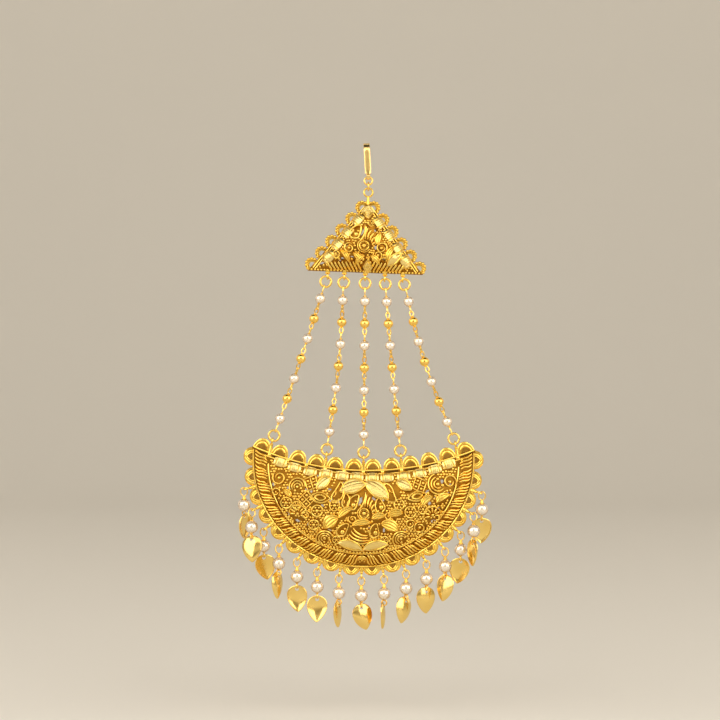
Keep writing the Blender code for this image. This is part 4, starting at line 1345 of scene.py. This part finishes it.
def make_hook():
    """The bent strip and its rolled eye. Returns the eye's centre."""
    lean = Matrix.Rotation(-HOOK_LEAN, 4, "Y")
    middle = HOOK_GAP / 2 + STRIP_THICKNESS / 2
    top = -HOOK_GAP / 2
    path = [Vector((0, -middle, z)) for z in spread(12, -FRONT_LEG + EYE_BORE + EYE_WALL * 0.7, top - 0.2)]
    bend = spread(25, 0, math.pi)
    path += [Vector((0, -middle * math.cos(a), top + middle * math.sin(a))) for a in bend]
    path += [Vector((0, middle, z)) for z in spread(10, top - 0.4, -BACK_LEG)]
    half, thick, soft = STRIP_WIDTH / 2, STRIP_THICKNESS / 2, 0.14
    section = []
    for x, y, start in ((1, 1, 0), (-1, 1, 90), (-1, -1, 180), (1, -1, 270)):
        for a in (start + 5, start + 45, start + 85):
            a = math.radians(a)
            corner = x * (half - soft), y * (thick - soft)
            section.append((corner[0] + soft * math.cos(a), corner[1] + soft * math.sin(a)))
    rings = []
    for i, point in enumerate(path):
        along = (path[min(i + 1, len(path) - 1)] - path[max(i - 1, 0)]).normalized()
        normal = Vector((1, 0, 0)).cross(along)
        narrow = 0.62 + 0.38 * min(i / 2.5, 1.0)
        rings.append([lean @ (point + Vector((x * narrow, 0, 0)) + normal * y) for x, y in section])
    work = Work()
    work.loft(rings)
    eye = Vector((0, -middle, -FRONT_LEG))
    outer = EYE_BORE + EYE_WALL
    half = EYE_WIDTH / 2
    profile = ((EYE_BORE, -half), (outer, -half), (outer + 0.02, 0), (outer, half), (EYE_BORE, half))
    rings = []
    for a in spread(33, 0, 2 * math.pi)[:-1]:
        rings.append([lean @ (eye + Vector((x, r * math.cos(a), r * math.sin(a)))) for r, x in profile])
    work.loft(rings, closed=True)
    add_piece("bent_strip", work, STRIP_GOLD, "gold_plate", "hook", "hook_strip")
    return lean @ eye


def pin_loop(work, bead_edge, far, width, turn):
    """A wire loop between a bead and what it is linked to, turned about its length.

    bead_edge and far are where its wire's centre line ends.
    """
    middle = (bead_edge + far) / 2
    long = (far - bead_edge).length / 2
    plane = Matrix.Rotation(turn, 4, "Z") @ FACING
    ring(work, upright(middle, far - bead_edge) @ plane, width, LOOP_WIRE * 0.47, long / width, 22, 8)


def make_string(number, upper_lug, lower_lug, bow):
    """One string: beads on pins whose ends are bent to loops, one through the next, between two rings."""
    down = (lower_lug - upper_lug).normalized()
    hang = centre_distance(LUG_HOLE + LUG_WEB / 2, LUG_WEB, STRING_RING_RADIUS, STRING_RING_WIRE)
    rings = (upper_lug + down * hang, lower_lug - down * hang)
    start = rings[0] + down * STRING_RING_RADIUS
    end = rings[1] - down * STRING_RING_RADIUS
    length = (end - start).length
    lead = PIN_LENGTH + PEARL / 2
    wires, golds, pearls = Work(), Work(), Work()
    for centre in rings:
        ring(wires, upright(centre, -down) @ FACING, STRING_RING_RADIUS, STRING_RING_WIRE / 2, 1, 40, 12)
    beads = []
    for i in range(STRING_BEADS):
        share = (lead + (length - 2 * lead) * i / (STRING_BEADS - 1)) / length
        middle = start.lerp(end, share) + Vector((bow * math.sin(math.pi * share), 0, 0))
        beads.append((middle, (GOLD_BEAD if i % 2 else PEARL) / 2))
    for i, (middle, radius) in enumerate(beads):
        before = beads[i - 1][0] if i else start
        after = beads[i + 1][0] if i < len(beads) - 1 else end
        up = (before - after).normalized()
        ball(golds if i % 2 else pearls, middle, radius, up)
        for side in (-1, 1):
            cap = upright(middle + up * side * (radius - 0.07), up * side)
            turned(wires, cap, ((0.52, -0.08), (0.56, 0.02), (0.42, 0.16), (0.2, 0.26)), 14)
    grip = (STRING_RING_WIRE + LOOP_WIRE) / 2
    first, last = beads[0], beads[-1]
    up = (start - first[0]).normalized()
    pin_loop(wires, first[0] + up * (first[1] + 0.1), start + up * grip, 0.56, math.pi / 2)
    up = (end - last[0]).normalized()
    pin_loop(wires, last[0] + up * (last[1] + 0.1), end + up * grip, 0.56, math.pi / 2)
    for i in range(STRING_BEADS - 1):
        (upper, upper_radius), (lower, lower_radius) = beads[i], beads[i + 1]
        line = lower - upper
        step = line.normalized()
        top_edge = upper + step * (upper_radius + 0.1)
        low_edge = lower - step * (lower_radius + 0.1)
        room = (low_edge - top_edge).length
        reach = (room + LOOP_WIRE) / 2
        side = 0.25 + 0.2 * math.sin(2.1 * i + number)
        pin_loop(wires, top_edge, top_edge + step * reach, 0.52, side if i % 2 else side + math.pi / 2)
        pin_loop(wires, low_edge, low_edge - step * reach, 0.52, side + math.pi / 2 if i % 2 else side)
    node = f"bead_string_{number}"
    add_piece(f"string_{number}_wire", wires, WIRE_GOLD, "bead_string", "pendant", node)
    add_piece(f"string_{number}_gold_beads", golds, BEAD_GOLD, "bead_string", "pendant", node)
    add_piece(f"string_{number}_pearls", pearls, PEARL_LACQUER, "pearl", "pendant", node)


def leaf_half_width(t):
    """Half the stamped leaf's width, this share of the way from its round top to its point."""
    widest = 0.385
    peak = math.sqrt(widest) * (1 - widest) ** 0.8
    return LEAF_WIDTH / 2 * math.sqrt(max(t, 0)) * max(1 - t, 0) ** 0.8 / peak


def stamped_leaf(work, matrix):
    """A thin dished leaf with a hole at its top and a turned-up rim. The hole's centre is the origin."""
    top = LEAF_HOLE + LEAF_HOLE_EDGE

    def dish(x, z):
        t = min(max((top - z) / LEAF_LENGTH, 0.0), 1.0)
        half = max(leaf_half_width(t), 0.05)
        s = min(abs(x) / half, 1.0)
        return LEAF_DISH * (1 - s**2.2) * (4 * t * (1 - t)) ** 0.6

    level = dish(0, 0)
    edge_line = []
    around = 44
    for k in range(around):
        t = (1 - math.cos(math.pi * k / around)) / 2
        edge_line.append(Vector((leaf_half_width(t), 0, top - t * LEAF_LENGTH)))
    tip = Vector((0, 0, top - LEAF_LENGTH))
    edge_line += [tip] + [Vector((-p.x, 0, p.z)) for p in reversed(edge_line[1:])]
    edge_line = [p - p.normalized() * LEAF_EDGE_INSET for p in edge_line]
    steps = 12
    half = LEAF_THICKNESS / 2
    rings = []
    for point in edge_line:
        edge = point.normalized() * LEAF_HOLE
        row = [edge.lerp(point, t**0.8) for t in spread(steps)]
        front = [Vector((p.x, level - dish(p.x, p.z) - half, p.z)) for p in row]
        back = [Vector((p.x, level - dish(p.x, p.z) + half, p.z)) for p in reversed(row)]
        rings.append([matrix @ p for p in front + back])
    work.loft(rings, closed=True)
    inner = [p - p.normalized() * LEAF_RIM_INSET for p in edge_line]
    rim = [matrix @ Vector((p.x, level, p.z)) for p in inner]
    wire(work, rim, LEAF_RIM, matrix.to_3x3() @ Vector((0, 1, 0)), 8, closed=True)


def make_drop(number, web, row):
    """One drop: a capped pearl on a looped pin, and a stamped leaf on its lower loop."""
    turn = math.radians(row["turn"])
    swing = Matrix.Translation(web) @ Matrix.Rotation(math.radians(-row["forward"]), 4, "X")
    radius = DROP_PEARL / 2
    half_wire = LOOP_WIRE / 2
    reach = PIN_LOOP_RADIUS * PIN_LOOP_STRETCH
    upper_loop = -(reach - (LUG_WEB + LOOP_WIRE) / 2 - LINK_PLAY)
    pearl_at = upper_loop - reach - half_wire + LOOP_SINK - DROP_CAP_HEIGHT - radius
    lower_loop = pearl_at - radius + LOOP_SINK - half_wire - LEAF_LOOP_RADIUS
    wires, pearl, leaf = Work(), Work(), Work()
    upper = swing @ Matrix.Translation((0, 0, upper_loop)) @ FACING
    ring(wires, upper, PIN_LOOP_RADIUS, half_wire, PIN_LOOP_STRETCH)
    lower = swing @ Matrix.Translation((0, 0, lower_loop)) @ Matrix.Rotation(turn, 4, "Z") @ EDGE_ON
    ring(wires, lower, LEAF_LOOP_RADIUS, half_wire)
    neck_top = upper_loop - reach
    neck_foot = pearl_at + radius
    for k, z in enumerate(spread(4, neck_top - 0.12, neck_foot + 0.1)):
        ring(wires, swing @ Matrix.Translation((0, 0, z)), 0.26 + 0.04 * k, 0.17, 1, 16, 8)
    stem = [swing @ Vector((0, 0, z)) for z in spread(4, neck_top, neck_foot - 0.1)]
    wire(wires, stem, 0.24, Vector((0, 1, 0)), 8)
    cap = swing @ Matrix.Translation((0, 0, neck_foot - 0.12))
    turned(wires, cap, ((0.78, -0.12), (0.8, 0.0), (0.6, 0.14), (0.3, 0.24)), 18)
    foot = swing @ Matrix.Translation((0, 0, pearl_at - radius + 0.1))
    turned(wires, foot, ((0.26, -0.26), (0.5, -0.14), (0.6, -0.02), (0.5, 0.1)), 16)
    ball(pearl, swing @ Vector((0, 0, pearl_at)), radius, swing.to_3x3() @ Vector((0, 0, 1)), 36, 18)
    hole = lower_loop - LEAF_LOOP_RADIUS + half_wire + LINK_PLAY - LEAF_HOLE
    slant = math.radians(row["lean"]) * (1 if math.cos(turn) > 0 else -1)
    tilt = Matrix.Rotation(turn, 4, "Z") @ Matrix.Rotation(-slant, 4, "Y")
    stamped_leaf(leaf, swing @ Matrix.Translation((0, 0, hole)) @ tilt)
    pearl_node, leaf_node = f"drop_pearl_{number:02d}", f"drop_leaf_{number:02d}"
    add_piece(f"drop_{number:02d}_wire", wires, WIRE_GOLD, "gold_plate", "pendant", pearl_node)
    add_piece(f"drop_{number:02d}_bead", pearl, PEARL_LACQUER, "pearl", "pendant", pearl_node)
    add_piece(f"drop_{number:02d}_leaf", leaf, LEAF_GOLD, "gold_leaf", "pendant", leaf_node)


def make_rings(eye):
    """The ring through the hook's eye and the link below it. Returns the centre of the triangle's ring."""
    hook_ring = eye - Vector((0, 0, JUMP_RADIUS))
    work = Work()
    ring(work, Matrix.Translation(hook_ring) @ FACING, JUMP_RADIUS, JUMP_WIRE / 2, 1, 40, 12)
    add_piece("eye_ring", work, WIRE_GOLD, "gold_plate", "pendant", "hook_ring")
    link = hook_ring - Vector((0, 0, centre_distance(JUMP_RADIUS, JUMP_WIRE, JUMP_RADIUS, JUMP_WIRE)))
    work = Work()
    ring(work, Matrix.Translation(link) @ EDGE_ON, JUMP_RADIUS, JUMP_WIRE / 2, 1, 40, 12)
    add_piece("edge_link", work, WIRE_GOLD, "gold_plate", "pendant", "plaque_link")
    return link - Vector((0, 0, centre_distance(JUMP_RADIUS, JUMP_WIRE, APEX_RING_RADIUS, JUMP_WIRE)))


# Studio.


def make_studio_floor():
    """A round pale floor that curves up into a wall all round."""
    floor, flat, bend, around = -0.168, 0.9, 0.6, 96
    line = [(radius, floor) for radius in (0.3, 0.6, flat)]
    curve = spread(13, 0.1, math.pi / 2)
    line += [(flat + bend * math.sin(a), floor + bend * (1 - math.cos(a))) for a in curve]
    line += [(flat + bend, floor + bend + rise) for rise in (0.4, 1.0, 2.0)]
    points = [(0.0, 0.0, floor)]
    for radius, z in line:
        points.extend((radius * math.cos(a), radius * math.sin(a), z) for a in round_angles(around))
    faces = [(0, 1 + k, 1 + (k + 1) % around) for k in range(around)]
    for i in range(len(line) - 1):
        first = 1 + i * around
        for k in range(around):
            after = (k + 1) % around
            faces.append((first + k, first + around + k, first + around + after, first + after))
    mesh = bpy.data.meshes.new("studio_floor")
    mesh.from_pydata(points, [], faces)
    mesh.polygons.foreach_set("use_smooth", [True] * len(mesh.polygons))
    mesh.materials.append(studio_paint("studio_board_matt_paint", "#E8E4DC"))
    piece = bpy.data.objects.new("studio_floor", mesh)
    bpy.context.scene.collection.objects.link(piece)


def add_light(name, place, aim, width, height, power, colour):
    """A rectangular soft light, aimed at a point. Places and sizes are in metres, power is in watts."""
    data = bpy.data.lights.new(name, "AREA")
    data.shape = "RECTANGLE"
    data.size = width
    data.size_y = height
    data.energy = power
    data.color = linear(colour)[:3]
    light = bpy.data.objects.new(name, data)
    light.location = place
    light.visible_camera = False
    light.rotation_euler = (Vector(aim) - Vector(place)).to_track_quat("-Z", "Y").to_euler()
    bpy.context.scene.collection.objects.link(light)


# The lamps that light the wall: name, side that they stand to in x and y, and watts.
WALL_LIGHTS = (("back", 0, 1, 3.6), ("left", -1, 0, 1.2), ("right", 1, 0, 1.2), ("front", 0, -1, 0.6))


def make_studio():
    """A wide soft box at either side, a smaller one behind each, one above, and a weak fill in front.

    Four lamps light the curved wall, so that the metal has something pale to mirror, and the room is dim.
    """
    aim = (0, 0, -0.075)
    for name, x in (("left", -0.56), ("right", 0.56)):
        add_light(name + "_soft_box", (x, -0.47, 0.20), aim, 0.80, 0.6, 3.7, "#FFFAF2")
        add_light(name + "_rear_box", (x * 1.4, 0.50, 0.25), aim, 0.5, 0.7, 1.0, "#FFF6EA")
    add_light("top_soft_box", (0.0, -0.50, 0.50), aim, 0.65, 0.4, 1.2, "#FFFAF2")
    add_light("front_fill", (0.0, -0.75, 0.12), aim, 0.5, 0.2, 0.12, "#FFFAF2")
    for name, x, y, power in WALL_LIGHTS:
        place, foot = (0.8 * x, 0.8 * y, 1.25), (1.5 * x, 1.5 * y, 0.15)
        add_light(name + "_wall_light", place, foot, 1.2, 0.4, power, "#FFF9F0")
    world = bpy.data.worlds.new("dim_room")
    world.use_nodes = True
    background = world.node_tree.nodes["Background"]
    background.inputs["Color"].default_value = linear("#DCD2C0")
    background.inputs["Strength"].default_value = 0.06
    bpy.context.scene.world = world
    view = bpy.context.scene.view_settings
    view.view_transform = "Standard"
    view.look = "None"


def make_camera():
    """The photograph's view: level, straight on, its middle pixel at the frame's middle."""
    data = bpy.data.cameras.new("camera")
    data.lens = CAMERA_LENS
    data.sensor_width = CAMERA_SENSOR
    data.clip_start = 0.01
    data.clip_end = 20.0
    camera = bpy.data.objects.new("camera", data)
    camera.location = (CAMERA_X * MM, -CAMERA_DISTANCE * MM, CAMERA_Z * MM)
    camera.rotation_euler = (math.pi / 2, 0, 0)
    bpy.context.scene.collection.objects.link(camera)
    bpy.context.scene.camera = camera


def main():
    eye = make_hook()
    apex_ring = make_rings(eye)
    tilt = Matrix.Rotation(TRIANGLE_ROLL, 4, "Y") @ Matrix.Rotation(TRIANGLE_LEAN_BACK, 4, "X")
    upper_lugs = make_triangle(Matrix.Translation(apex_ring) @ tilt)
    hang = upper_lugs[len(upper_lugs) // 2] + Vector((CRESCENT_SIDE, 0, -CRESCENT_DROP))
    tilt = Matrix.Rotation(CRESCENT_ROLL, 4, "Y") @ Matrix.Rotation(CRESCENT_LEAN_BACK, 4, "X")
    string_lugs, drop_lugs = make_crescent(Matrix.Translation(hang) @ tilt)
    for number, (upper, lower, row) in enumerate(zip(upper_lugs, string_lugs, STRINGS), 1):
        make_string(number, upper, lower, row["bow"])
    for number, (web, row) in enumerate(zip(drop_lugs, DROPS), 1):
        make_drop(number, web, row)
    make_studio_floor()
    make_studio()
    make_camera()


main()
